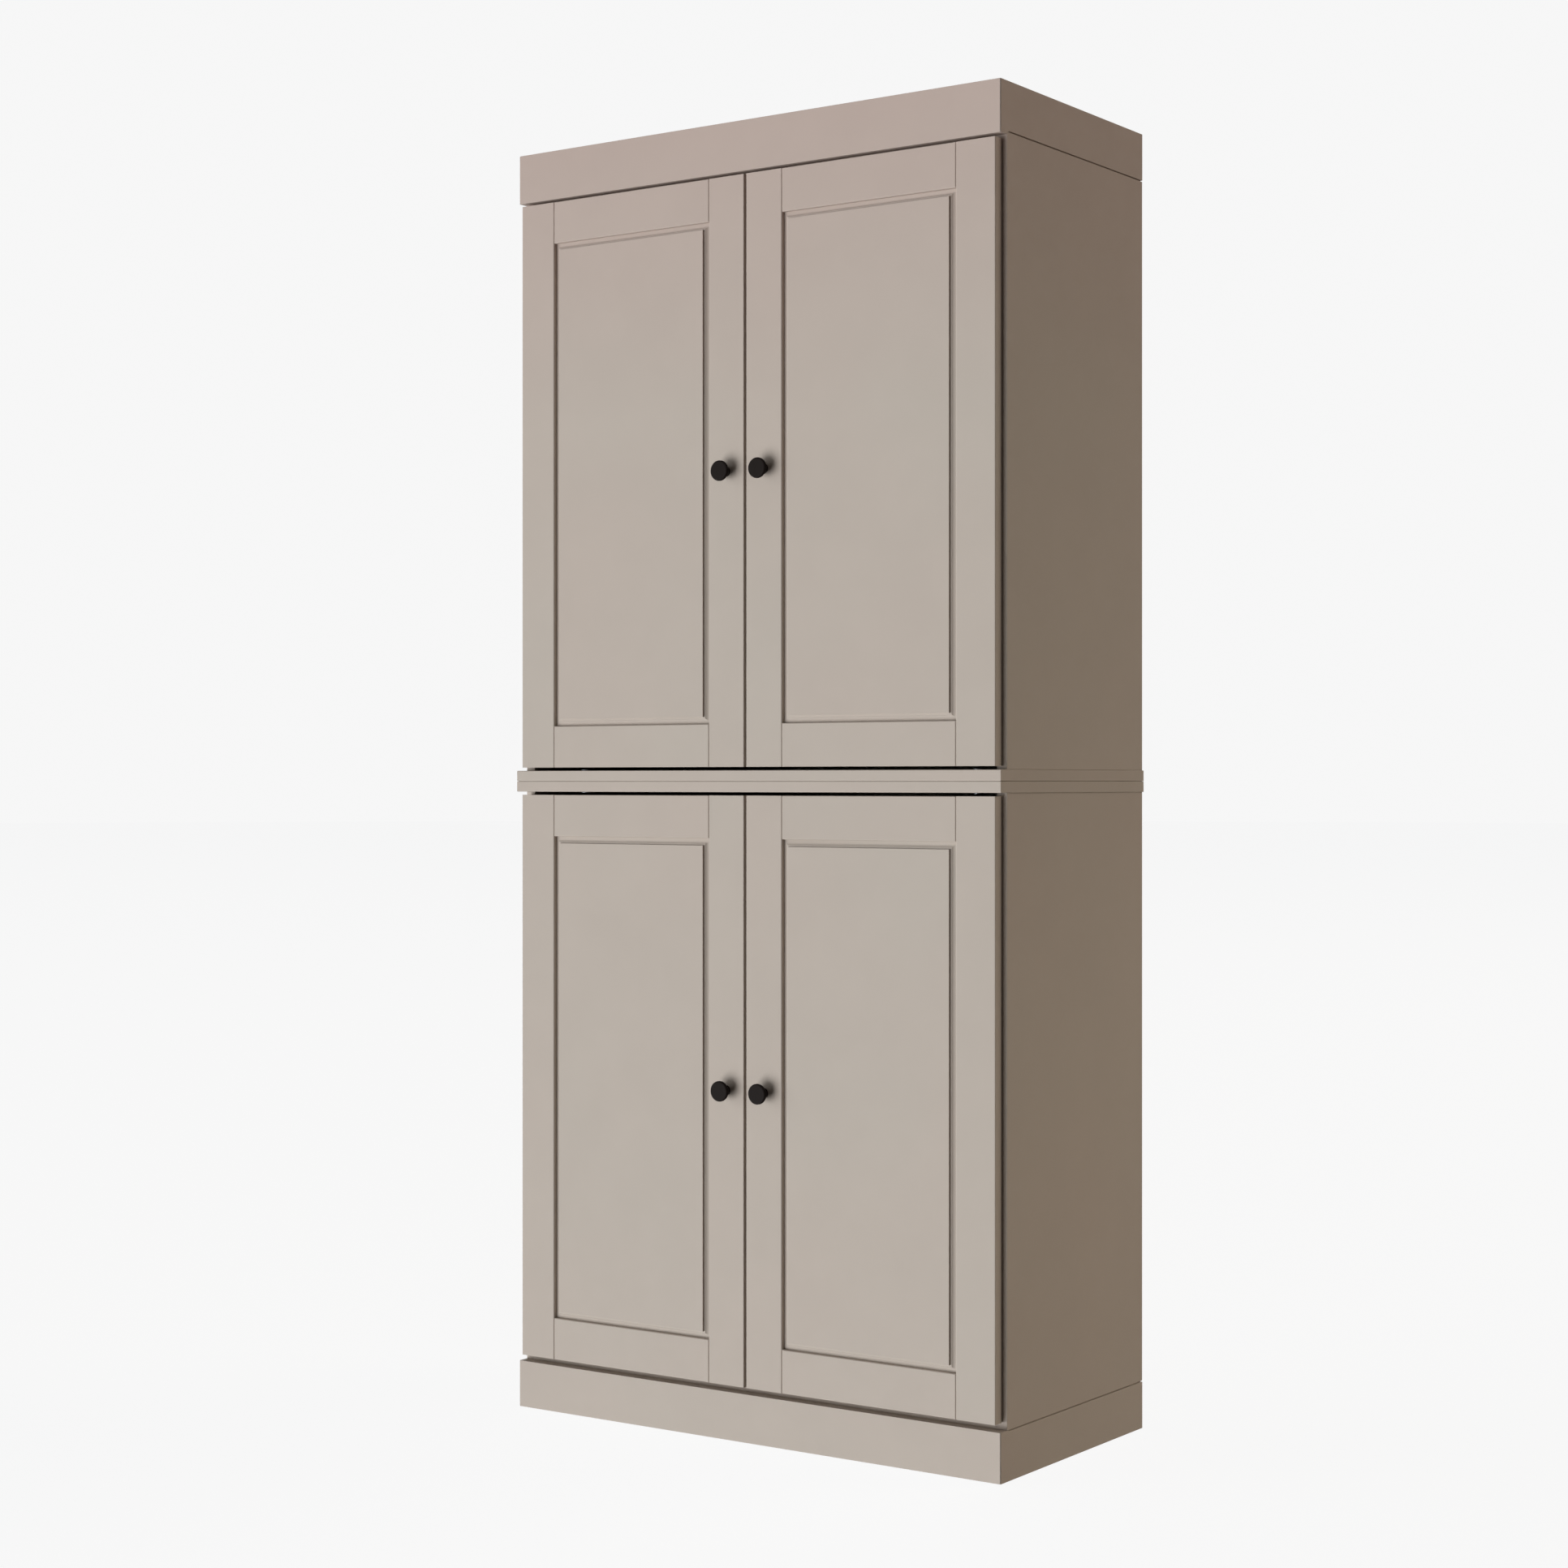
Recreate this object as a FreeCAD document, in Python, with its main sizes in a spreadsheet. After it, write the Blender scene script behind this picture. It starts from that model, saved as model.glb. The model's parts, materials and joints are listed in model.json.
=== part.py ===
"""Two-module pantry cabinet with four framed doors, in millimetres.

Frame: origin at the middle of the footprint on the floor, +X to the right, -Y to the
front where the doors are, +Z up.
"""
import FreeCAD, Part
import os
import re
import Sketcher
from FreeCAD import Placement, Rotation, Vector

doc = FreeCAD.newDocument("pantry_cabinet")
sizes = doc.addObject("Spreadsheet::Sheet", "sizes")

# Driving dimensions: name, millimetres (or a count), meaning.
SIZES = (
    ("cabinet_width", 802, "over the plinth and the crown"),
    ("cabinet_depth", 388, "plinth and crown, front to back"),
    ("module_height", 900, "each of the two stacked modules"),
    ("plinth_height", 66, "plinth boards"),
    ("crown_height", 66, "crown boards"),
    ("trim_thickness", 18, "plinth and crown boards"),
    ("trim_arris", 1.2, "bevel on the front corners of plinth and crown"),
    ("board_thickness", 15, "top and bottom boards"),
    ("side_thickness", 15, "side panels"),
    ("side_setback", 0.3, "side panel face behind the crown's side face"),
    ("joint_gap", 1.5, "shadow gap in the plinth's and crown's ends, at the side panels"),
    ("joint_gap_depth", 3, "shadow gaps, in from a side"),
    ("joint_gap_start", 4, "shadow gaps behind the side panels' front edges"),
    ("seam_gap", 0.4, "shadow gap between the middle boards, at their ends"),
    ("middle_overhang", 2, "middle boards past the crown, each side"),
    ("middle_proud", 3, "middle boards past the crown, in front"),
    ("board_arris", 0.8, "bevel on the middle boards' long front edges"),
    ("back_thickness", 3, "back panels"),
    ("back_setback", 12, "back panel behind the rear edges"),
    ("groove_depth", 6, "grooves that hold the back panels"),
    ("groove_play", 0.15, "play each side of a panel in its groove"),
    ("groove_end_play", 0.5, "play at the bottom of a groove"),
    ("shelf_thickness", 15, "loose shelves"),
    ("shelf_end_play", 1.5, "each end of a shelf"),
    ("shelf_setback", 12, "shelf behind the side panels' front edges"),
    ("pin_row_front", 37, "front row of shelf holes from the front edge"),
    ("pin_row_rear", 63.5, "rear row of shelf holes in front of the back panel"),
    ("pin_first", 160, "first shelf hole above the module's floor"),
    ("pin_pitch", 32, "between shelf holes"),
    ("pin_count", 15, "holes in a row"),
    ("low_free_count", 3, "free holes under the low shelf's"),
    ("high_free_count", 11, "holes under the high shelf's"),
    ("pin_radius", 2.5, "shelf pin"),
    ("pin_hole_play", 0.05, "pin to hole, radial"),
    ("pin_hole_depth", 10, "shelf holes"),
    ("pin_sunk", 9.5, "pin inside its hole"),
    ("pin_reach", 8, "pin out of the side panel"),
    ("pin_collar_radius", 4, "collar that stops the pin"),
    ("pin_collar_length", 1.2, "collar that stops the pin"),
    ("dowel_radius", 4, "wooden dowels"),
    ("dowel_play", 0.1, "dowel to hole, radial and at its ends"),
    ("dowel_in_face", 10, "dowel in a board's face"),
    ("dowel_in_edge", 20, "dowel in a board's edge"),
    ("trim_dowel_half", 15, "dowel between a side panel and plinth or crown"),
    ("front_dowel_row", 107, "front dowels from the side's front edge"),
    ("rear_dowel_row", 99.5, "rear dowels in front of the back panel"),
    ("front_trim_row", 77, "front plinth and crown dowels from the side's front edge"),
    ("rear_trim_row", 69.5, "rear plinth and crown dowels in front of the back panel"),
    ("front_cam_row", 47, "front cam fittings from the side's front edge"),
    ("rear_cam_row", 38.5, "rear cam fittings in front of the back panel"),
    ("cam_radius", 7.5, "cam discs"),
    ("cam_height", 12, "cam discs"),
    ("cam_play", 0.1, "cam to bore, radial"),
    ("cam_distance", 34, "cam centre to the joint"),
    ("cam_bolt_radius", 3.5, "cam bolt's shank"),
    ("cam_bolt_play", 0.2, "cam bolt to hole, radial"),
    ("cam_bolt_length", 30, "cam bolt from the joint towards the cam"),
    ("cam_thread_radius", 2.5, "cam bolt's thread"),
    ("cam_thread_length", 10, "cam bolt in the board's face"),
    ("cam_thread_play", 0.1, "cam bolt's thread to its hole, radial and at its end"),
    ("joiner_in", 56, "module bolts in from the side panels' inner faces"),
    ("front_joiner_row", 48, "front module bolts from the side's front edge"),
    ("rear_joiner_row", 48.5, "rear module bolts in front of the back panel"),
    ("joiner_radius", 3, "module bolt"),
    ("joiner_sleeve_radius", 4, "sleeve nut of a module bolt"),
    ("joiner_sleeve_length", 20, "sleeve nut of a module bolt"),
    ("joiner_head_radius", 7, "heads of bolt and sleeve"),
    ("joiner_head_height", 2, "heads of bolt and sleeve"),
    ("joiner_play", 0.1, "bolt to sleeve and sleeve to hole, radial"),
    ("joiner_bolt_length", 25, "module bolt under its head"),
    ("door_thickness", 16, "door frames"),
    ("door_proud", 2, "doors in front of the crown"),
    ("door_side_inset", 7, "door edge in from the crown's side"),
    ("door_middle_gap", 4, "between the two doors of a pair"),
    ("door_gap", 4.5, "doors to the middle boards"),
    ("crown_gap", 8, "upper doors to the case's top"),
    ("crown_lip", 3.2, "crown's lip in front of the case"),
    ("lip_play", 0.5, "crown's lip to the case"),
    ("plinth_gap", 9.2, "lower doors to the plinth"),
    ("gap_behind_door", 2.5, "door back to the side panel's edge"),
    ("frame_width", 59, "door stiles and rails"),
    ("frame_arris", 1.1, "bevel on the inner edges of stiles and rails"),
    ("door_arris", 0.7, "bevel on the outer edges of the doors"),
    ("margin_depth", 5.8, "panel's flat margin behind the door's front"),
    ("panel_rear", 9.4, "panel's back behind the door's front"),
    ("panel_tongue", 7.5, "panel in the frame's groove"),
    ("frame_groove", 8, "depth of the frame's groove"),
    ("field_proud", 0.7, "raised field in front of the door's frame"),
    ("field_step", 3.0, "step down from the raised field"),
    ("step_width", 2.2, "flat step round the raised field"),
    ("slope_width", 3.2, "slope from the step down to the margin"),
    ("margin_width", 4.4, "panel's flat margin"),
    ("tenon_play", 0.4, "end of a rail's tenon in the groove"),
    ("knob_projection", 18, "knob"),
    ("knob_radius", 14, "knob's head"),
    ("knob_rim", 4, "knob's straight rim"),
    ("knob_bevel", 0.9, "bevel round the knob's face"),
    ("knob_neck_radius", 7, "knob's foot"),
    ("knob_foot", 2.5, "straight part of the foot"),
    ("knob_in", 29.5, "knob's axis from the door's free edge"),
    ("knob_screw_radius", 2, "screw that holds the knob"),
    ("knob_screw_play", 0.1, "screw to the knob's thread, radial"),
    ("knob_hole_play", 0.2, "screw to the hole in the stile, radial"),
    ("knob_bore_depth", 10.5, "thread in the knob"),
    ("knob_screw_in", 9, "screw in the knob"),
    ("knob_head_radius", 4, "head of the knob's screw"),
    ("knob_head_height", 2.2, "head of the knob's screw"),
    ("hinge_end", 100, "hinge centre from the door's end"),
    ("hinge_in", 6.5, "hinge pin from the door's outer edge"),
    ("hinge_back", 7, "hinge pin behind the door's front"),
    ("hinge_pin_radius", 1, "hinge pin"),
    ("hinge_pin_play", 0.06, "hinge pin to the arm's eye, radial"),
    ("hinge_pin_half", 8.8, "half of the hinge pin's length"),
    ("cup_edge", 3, "hinge cup from the door's outer edge"),
    ("cup_radius", 17.5, "hinge cup"),
    ("cup_depth", 12.2, "hinge cup in the door"),
    ("cup_wall", 0.8, "hinge cup's wall"),
    ("cup_play", 0.05, "hinge cup to its bore, radial"),
    ("rim_radius", 18.2, "hinge cup's rim"),
    ("flange_thickness", 1.2, "hinge cup's rim and wings"),
    ("wing_start", 14, "wings from the door's outer edge"),
    ("wing_width", 22, "wings across the stile"),
    ("wing_half", 29, "half of the wings' length"),
    ("wing_screw_rise", 22.5, "wing screws above and below the cup"),
    ("wing_screw_in", 30, "wing screws from the door's outer edge"),
    ("window_half", 5.5, "half of the arm's window in the cup's wall"),
    ("window_in", 6, "arm's window from the door's outer edge"),
    ("window_depth", 5.5, "arm's window in front of the door's back"),
    ("eye_radius", 1.9, "arm's eye round the pin"),
    ("lug_half_thickness", 1.5, "arm inside the cup"),
    ("lug_half", 4, "half of the height of the arm's nose"),
    ("leg_offset", 10.5, "arm's leg in from the hinge pin"),
    ("arm_steel", 2.5, "arm"),
    ("arm_start", 6, "arm's channel behind the side's front edge"),
    ("arm_end", 52, "arm's rear end behind the side's front edge"),
    ("channel_half", 8.5, "half of the channel's height"),
    ("channel_wall", 1.2, "channel's flanges"),
    ("channel_lift", 2.8, "flanges off the side panel"),
    ("plate_thickness", 2, "mounting plate"),
    ("plate_start", 28, "mounting plate's wings behind the front edge"),
    ("plate_end", 46, "mounting plate's wings behind the front edge"),
    ("plate_half", 23, "half of the plate's height"),
    ("spine_start", 14, "plate's spine behind the front edge"),
    ("spine_end", 50, "plate's spine behind the front edge"),
    ("spine_half", 7, "half of the spine's height"),
    ("spine_play", 0.1, "spine under the arm"),
    ("plate_screw_rise", 16, "plate screws above and below the hinge centre"),
    ("arm_screw_back", 44, "arm screw behind the side's front edge"),
    ("arm_screw_radius", 2, "arm screw"),
    ("arm_screw_play", 0.1, "arm screw to the plate's thread, radial"),
    ("arm_hole_play", 0.2, "arm screw to the arm's hole, radial"),
    ("arm_screw_clear", 1.5, "arm screw's tip off the side panel"),
    ("arm_thread_clear", 1, "bottom of the arm screw's thread off the side panel"),
    ("wood_screw_radius", 1.7, "wood screws"),
    ("wood_screw_play", 0.1, "wood screw to its hole, radial"),
    ("wood_screw_length", 11.5, "wood screw in the wood"),
    ("screw_head_radius", 3.4, "screw heads"),
    ("screw_head_height", 1.8, "screw heads"),
    ("bumper_radius", 4, "door bumpers"),
    ("bumper_play", 0.35, "bumper to the closed door"),
    ("bumper_in", 32, "bumper from the middle of the cabinet"),
    ("bumper_end", 5, "bumper from the door's end"),
    ("bracket_spacing", 500, "between the two wall brackets"),
    ("bracket_width", 26, "wall bracket"),
    ("bracket_steel", 2, "wall bracket"),
    ("bracket_drop", 30, "wall bracket's upright leg"),
    ("bracket_reach", 32, "wall bracket's flat leg"),
    ("bracket_screw_reach", 20, "bracket screws in front of the back panel"),
    ("bracket_screw_half", 7, "half of the gap between bracket screws"),
    ("wall_hole_radius", 2.75, "hole for the wall screw"),
    ("wall_hole_drop", 18, "wall screw under the top board"),
)

# Places worked out from the driving dimensions, used by name in the expressions below.
DERIVED = {
    "half_width": "cabinet_width / 2",
    "back_y": "(cabinet_depth + door_proud + knob_projection) / 2",
    "crown_front_y": "back_y - cabinet_depth",
    "door_front_y": "crown_front_y - door_proud",
    "door_back_y": "door_front_y + door_thickness",
    "side_front_y": "door_back_y + gap_behind_door",
    "side_depth": "back_y - side_front_y",
    "side_outer_x": "half_width - side_setback",
    "side_inner_x": "side_outer_x - side_thickness",
    "side_middle_x": "side_outer_x - side_thickness / 2",
    "back_front_y": "back_y - back_setback - back_thickness",
    "lower_side_top": "module_height - board_thickness",
    "upper_side_bottom": "module_height + board_thickness",
    "cabinet_height": "2 * module_height",
    "crown_bottom": "cabinet_height - crown_height",
    "lower_floor": "plinth_height + board_thickness",
    "upper_ceiling": "crown_bottom - board_thickness",
    "door_outer_x": "half_width - door_side_inset",
    "door_inner_x": "door_middle_gap / 2",
    "door_width": "door_outer_x - door_inner_x",
    "door_middle_x": "(door_outer_x + door_inner_x) / 2",
    "lower_door_bottom": "plinth_height + plinth_gap",
    "lower_door_top": "lower_side_top - door_gap",
    "upper_door_bottom": "upper_side_bottom + door_gap",
    "upper_door_top": "crown_bottom - crown_gap",
    "opening_width": "door_width - 2 * frame_width",
    "pin_x": "door_outer_x - hinge_in",
    "pin_y": "door_front_y + hinge_back",
    "leg_x": "pin_x - leg_offset",
    "cup_x": "door_outer_x - cup_edge - cup_radius",
}

ALIASES = set()
for row, (alias, value, meaning) in enumerate(SIZES, start=1):
    sizes.set(f"A{row}", meaning)
    sizes.set(f"B{row}", str(value))
    sizes.setAlias(f"B{row}", alias)
    ALIASES.add(alias)
doc.recompute()


def expression(text):
    """Spells out derived names and points every size at its cell of the sheet."""
    def spell(match):
        word = match.group(0)
        if word in DERIVED:
            return "(" + expression(DERIVED[word]) + ")"
        if word in ALIASES:
            return "sizes." + word
        raise ValueError(f"unknown size {word} in {text}")
    return re.sub(r"[a-z_]+", spell, text)


def bind(thing, prop, text):
    thing.setExpression(prop, expression(text))


def signed(side, text):
    """The same distance to the right (+1) or to the left (-1) of the middle."""
    return text if side > 0 else f"-({text})"


# ---------------------------------------------------------------- small builders

TURNS = {
    "+x": Rotation(Vector(0, 1, 0), 90),
    "-x": Rotation(Vector(0, 1, 0), -90),
    "+y": Rotation(Vector(1, 0, 0), -90),
    "-y": Rotation(Vector(1, 0, 0), 90),
    "+z": Rotation(),
    "-z": Rotation(Vector(1, 0, 0), 180),
}
OPPOSITE = {"+x": "-x", "-x": "+x", "+y": "-y", "-y": "+y", "+z": "-z", "-z": "+z"}


def place(thing, corner, turn=None):
    if turn is not None:
        thing.Placement = Placement(Vector(), turn)
    for axis, text in zip("xyz", corner):
        bind(thing, f"Placement.Base.{axis}", text)


def box(name, corner, lengths):
    thing = doc.addObject("Part::Box", name)
    for prop, text in zip(("Length", "Width", "Height"), lengths):
        bind(thing, prop, text)
    place(thing, corner)
    return thing


def side_box(name, side, inner_x, outer_x, front_y, depth, low_z, height):
    """A box between two distances from the middle, on the right or on the left."""
    low_x = inner_x if side > 0 else f"-({outer_x})"
    return box(name, (low_x, front_y, low_z), (f"({outer_x}) - ({inner_x})", depth, height))


def shadow_gap(name, side, face_x, low_z, height):
    """The slot along a side's face that starts just behind the side panel's front edge."""
    return side_box(name + "_shadow_gap", side, f"{face_x} - joint_gap_depth", face_x,
                    "side_front_y + joint_gap_start", "side_depth - joint_gap_start",
                    low_z, height)


def rod(name, start, radius, length, towards):
    thing = doc.addObject("Part::Cylinder", name)
    bind(thing, "Radius", radius)
    bind(thing, "Height", length)
    place(thing, start, TURNS[towards])
    return thing


def group(name, things):
    thing = doc.addObject("Part::Compound", name)
    thing.Links = list(things)
    return thing


def fuse(name, things):
    thing = doc.addObject("Part::MultiFuse", name)
    thing.Shapes = list(things)
    return thing


def cut(name, base, tools):
    thing = doc.addObject("Part::Cut", name)
    thing.Base = base
    thing.Tool = group(name + "_cuts", tools) if len(tools) > 1 else tools[0]
    return thing


def origin_feature(body, role):
    return [item for item in body.Origin.OriginFeatures if item.Role == role][0]


def outline(body, name, plane, corners):
    """A closed sketch with straight sides whose corners are bound to the sheet."""
    sketch = body.newObject("Sketcher::SketchObject", name)
    sketch.AttachmentSupport = [(origin_feature(body, plane), "")]
    sketch.MapMode = "FlatFace"
    polygon(sketch, corners)
    return sketch


def polygon(sketch, corners):
    first = sketch.GeometryCount
    count = len(corners)
    spots = [Vector(3 + index, (index * index) % 7, 0) for index in range(count)]
    for index in range(count):
        sketch.addGeometry(Part.LineSegment(spots[index], spots[(index + 1) % count]))
    for index in range(count):
        following = first + (index + 1) % count
        sketch.addConstraint(Sketcher.Constraint("Coincident", first + index, 2, following, 1))
    for index, corner in enumerate(corners):
        pin_corner(sketch, first + index, corner)


def pin_corner(sketch, line, corner):
    for kind, axis, text in (("DistanceX", -2, corner[0]), ("DistanceY", -1, corner[1])):
        if text == "0":
            sketch.addConstraint(Sketcher.Constraint("PointOnObject", line, 1, axis))
            continue
        ends = (-1, 1, line, 1)
        if text.startswith("-"):
            ends = (line, 1, -1, 1)
            text = text[1:]
        number = sketch.addConstraint(Sketcher.Constraint(kind, *ends, 1.0))
        bind(sketch, f"Constraints[{number}]", text)


def pad(body, name, sketch, length, symmetric=False):
    feature = body.newObject("PartDesign::Pad", name)
    feature.Profile = sketch
    feature.SideType = "Symmetric" if symmetric else "One side"
    bind(feature, "Length", length)
    return feature


nodes = {}


def keep(name, thing):
    """Names the finished piece."""
    thing.Label = name
    nodes[name] = thing
    return thing


RIGHT, LEFT = 1, -1
SIDES = (("left", LEFT), ("right", RIGHT))
FRONT_REAR = ("front", "rear")


def outward(side):
    return "+x" if side > 0 else "-x"


def inward(side):
    return OPPOSITE[outward(side)]


def shifted(level, towards, distance):
    """The level moved by the distance the way of towards, which is +z or -z."""
    return f"{level} {towards[0]} {distance}"


# ---------------------------------------------------------------- joints of the case
# Every joint between boards has two cam fittings and two dowels, at these depths.

def rows(kind):
    """A front row placed from the front edge and a rear one placed from the back panel."""
    return {"front": f"side_front_y + front_{kind}_row",
            "rear": f"back_front_y - rear_{kind}_row"}


CAM_ROWS = rows("cam")
DOWEL_ROWS = rows("dowel")
TRIM_ROWS = rows("trim")
JOINER_ROWS = rows("joiner")
HINGE_LEVELS = {
    "lower": ("lower_door_bottom + hinge_end", "lower_door_top - hinge_end"),
    "upper": ("upper_door_bottom + hinge_end", "upper_door_top - hinge_end"),
}
MODULES = ("lower", "upper")

# Joints where a board lies between the side panels, and joints where it lies on
# their ends.
BETWEEN = {"lower": "plinth_height + board_thickness / 2",
           "upper": "crown_bottom - board_thickness / 2"}
ACROSS = {"lower": ("lower_side_top", "-z"), "upper": ("upper_side_bottom", "+z")}
TRIM = {"lower": ("plinth_height", "+z"), "upper": ("crown_bottom", "-z")}

dowels = []
cam_fittings = []


def cam_disc(name, start, towards, bolt_start, bolt_towards):
    """A disc with the pocket that takes the bolt's head."""
    disc = rod(name + "_disc", start, "cam_radius", "cam_height", towards)
    pocket = rod(name + "_pocket", bolt_start, "cam_bolt_radius + cam_bolt_play",
                 "cam_distance", bolt_towards)
    return cut(name, disc, [pocket])


def cam_bolt(name, joint, to_cam, to_face):
    shank = rod(name + "_shank", joint, "cam_bolt_radius", "cam_bolt_length", to_cam)
    thread = rod(name + "_thread", joint, "cam_thread_radius", "cam_thread_length", to_face)
    return fuse(name, [shank, thread])


def side_holes(module, side, tag):
    """Everything bored into one side panel apart from the rows of shelf holes."""
    face_x = signed(side, "side_inner_x")
    middle_x = signed(side, "side_middle_x")
    out = outward(side)
    holes = []
    for end in FRONT_REAR:
        level = BETWEEN[module]
        holes.append(rod(f"{tag}_{end}_thread_hole", (face_x, CAM_ROWS[end], level),
                         "cam_thread_radius + cam_thread_play",
                         "cam_thread_length + cam_thread_play", out))
        holes.append(rod(f"{tag}_{end}_face_dowel_hole", (face_x, DOWEL_ROWS[end], level),
                         "dowel_radius + dowel_play", "dowel_in_face + dowel_play", out))
        edge, into = ACROSS[module]
        holes.append(rod(f"{tag}_{end}_cam_bore",
                         (face_x, CAM_ROWS[end], shifted(edge, into, "cam_distance")),
                         "cam_radius + cam_play", "cam_height + cam_play", out))
        holes.append(rod(f"{tag}_{end}_bolt_hole", (middle_x, CAM_ROWS[end], edge),
                         "cam_bolt_radius + cam_bolt_play", "cam_distance", into))
        holes.append(rod(f"{tag}_{end}_edge_dowel_hole", (middle_x, DOWEL_ROWS[end], edge),
                         "dowel_radius + dowel_play", "dowel_in_edge + dowel_play", into))
        trim_edge, trim_into = TRIM[module]
        holes.append(rod(f"{tag}_{end}_trim_dowel_hole", (middle_x, TRIM_ROWS[end], trim_edge),
                         "dowel_radius + dowel_play", "trim_dowel_half + dowel_play", trim_into))
    for place_name, level in zip(("low", "high"), HINGE_LEVELS[module]):
        for sign in "-+":
            holes.append(rod(f"{tag}_{place_name}_hinge_hole",
                             (face_x, "side_front_y + pin_row_front",
                              f"{level} {sign} plate_screw_rise"),
                             "wood_screw_radius + wood_screw_play",
                             "wood_screw_length + wood_screw_play", out))
    return holes


def joint_fittings(module, side, tag):
    """Dowels, cam discs and cam bolts of one side panel."""
    face_x = signed(side, "side_inner_x")
    middle_x = signed(side, "side_middle_x")
    out = outward(side)
    back_in = inward(side)
    edge, into = ACROSS[module]
    trim_edge, trim_into = TRIM[module]
    for end in FRONT_REAR:
        level = BETWEEN[module]
        joint = (face_x, CAM_ROWS[end], level)
        cam_x = signed(side, "side_inner_x - cam_distance")
        cam_fittings.append(cam_disc(f"{tag}_{end}_between_cam",
                                     (cam_x, CAM_ROWS[end], trim_edge), trim_into,
                                     joint, back_in))
        cam_fittings.append(cam_bolt(f"{tag}_{end}_between_bolt", joint, back_in, out))
        joint = (middle_x, CAM_ROWS[end], edge)
        cam_fittings.append(cam_disc(f"{tag}_{end}_across_cam",
                                     (face_x, CAM_ROWS[end], shifted(edge, into, "cam_distance")),
                                     out, joint, into))
        cam_fittings.append(cam_bolt(f"{tag}_{end}_across_bolt", joint, into, OPPOSITE[into]))
        dowels.append(rod(f"{tag}_{end}_between_dowel",
                          (signed(side, "side_inner_x + dowel_in_face"), DOWEL_ROWS[end], level),
                          "dowel_radius", "dowel_in_face + dowel_in_edge", back_in))
        dowels.append(rod(f"{tag}_{end}_across_dowel",
                          (middle_x, DOWEL_ROWS[end],
                           shifted(edge, OPPOSITE[into], "dowel_in_face")),
                          "dowel_radius", "dowel_in_face + dowel_in_edge", into))
        dowels.append(rod(f"{tag}_{end}_trim_dowel",
                          (middle_x, TRIM_ROWS[end],
                           shifted(trim_edge, OPPOSITE[trim_into], "trim_dowel_half")),
                          "dowel_radius", "2 * trim_dowel_half", trim_into))


def board_end_holes(tag, module, side):
    """Holes in one end of a board that lies between the side panels."""
    level = BETWEEN[module]
    hidden_face, into = TRIM[module]
    face_x = signed(side, "side_inner_x")
    cam_x = signed(side, "side_inner_x - cam_distance")
    holes = []
    for end in FRONT_REAR:
        holes.append(rod(f"{tag}_{end}_bolt_hole", (face_x, CAM_ROWS[end], level),
                         "cam_bolt_radius + cam_bolt_play", "cam_distance", inward(side)))
        holes.append(rod(f"{tag}_{end}_cam_bore", (cam_x, CAM_ROWS[end], hidden_face),
                         "cam_radius + cam_play", "cam_height + cam_play", into))
        holes.append(rod(f"{tag}_{end}_dowel_hole", (face_x, DOWEL_ROWS[end], level),
                         "dowel_radius + dowel_play", "dowel_in_edge + dowel_play",
                         inward(side)))
    return holes


def board_face_holes(tag, face, into, side):
    """Holes in the face of a board that lies across the side panels' ends."""
    middle_x = signed(side, "side_middle_x")
    holes = []
    for end in FRONT_REAR:
        holes.append(rod(f"{tag}_{end}_thread_hole", (middle_x, CAM_ROWS[end], face),
                         "cam_thread_radius + cam_thread_play",
                         "cam_thread_length + cam_thread_play",
                         into))
        holes.append(rod(f"{tag}_{end}_dowel_hole", (middle_x, DOWEL_ROWS[end], face),
                         "dowel_radius + dowel_play", "dowel_in_face + dowel_play", into))
        joiner_x = signed(side, "side_inner_x - joiner_in")
        holes.append(rod(f"{tag}_{end}_joiner_hole",
                         (joiner_x, JOINER_ROWS[end], face),
                         "joiner_sleeve_radius + joiner_play", "board_thickness", into))
    return holes


# ---------------------------------------------------------------- side panels

PIN_ROWS = ("side_front_y + pin_row_front", "back_front_y - pin_row_rear")
# Height of the first shelf hole above the side panel's own lower end.
DERIVED["lower_first_hole"] = "board_thickness + pin_first"
DERIVED["upper_first_hole"] = "pin_first"


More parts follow.
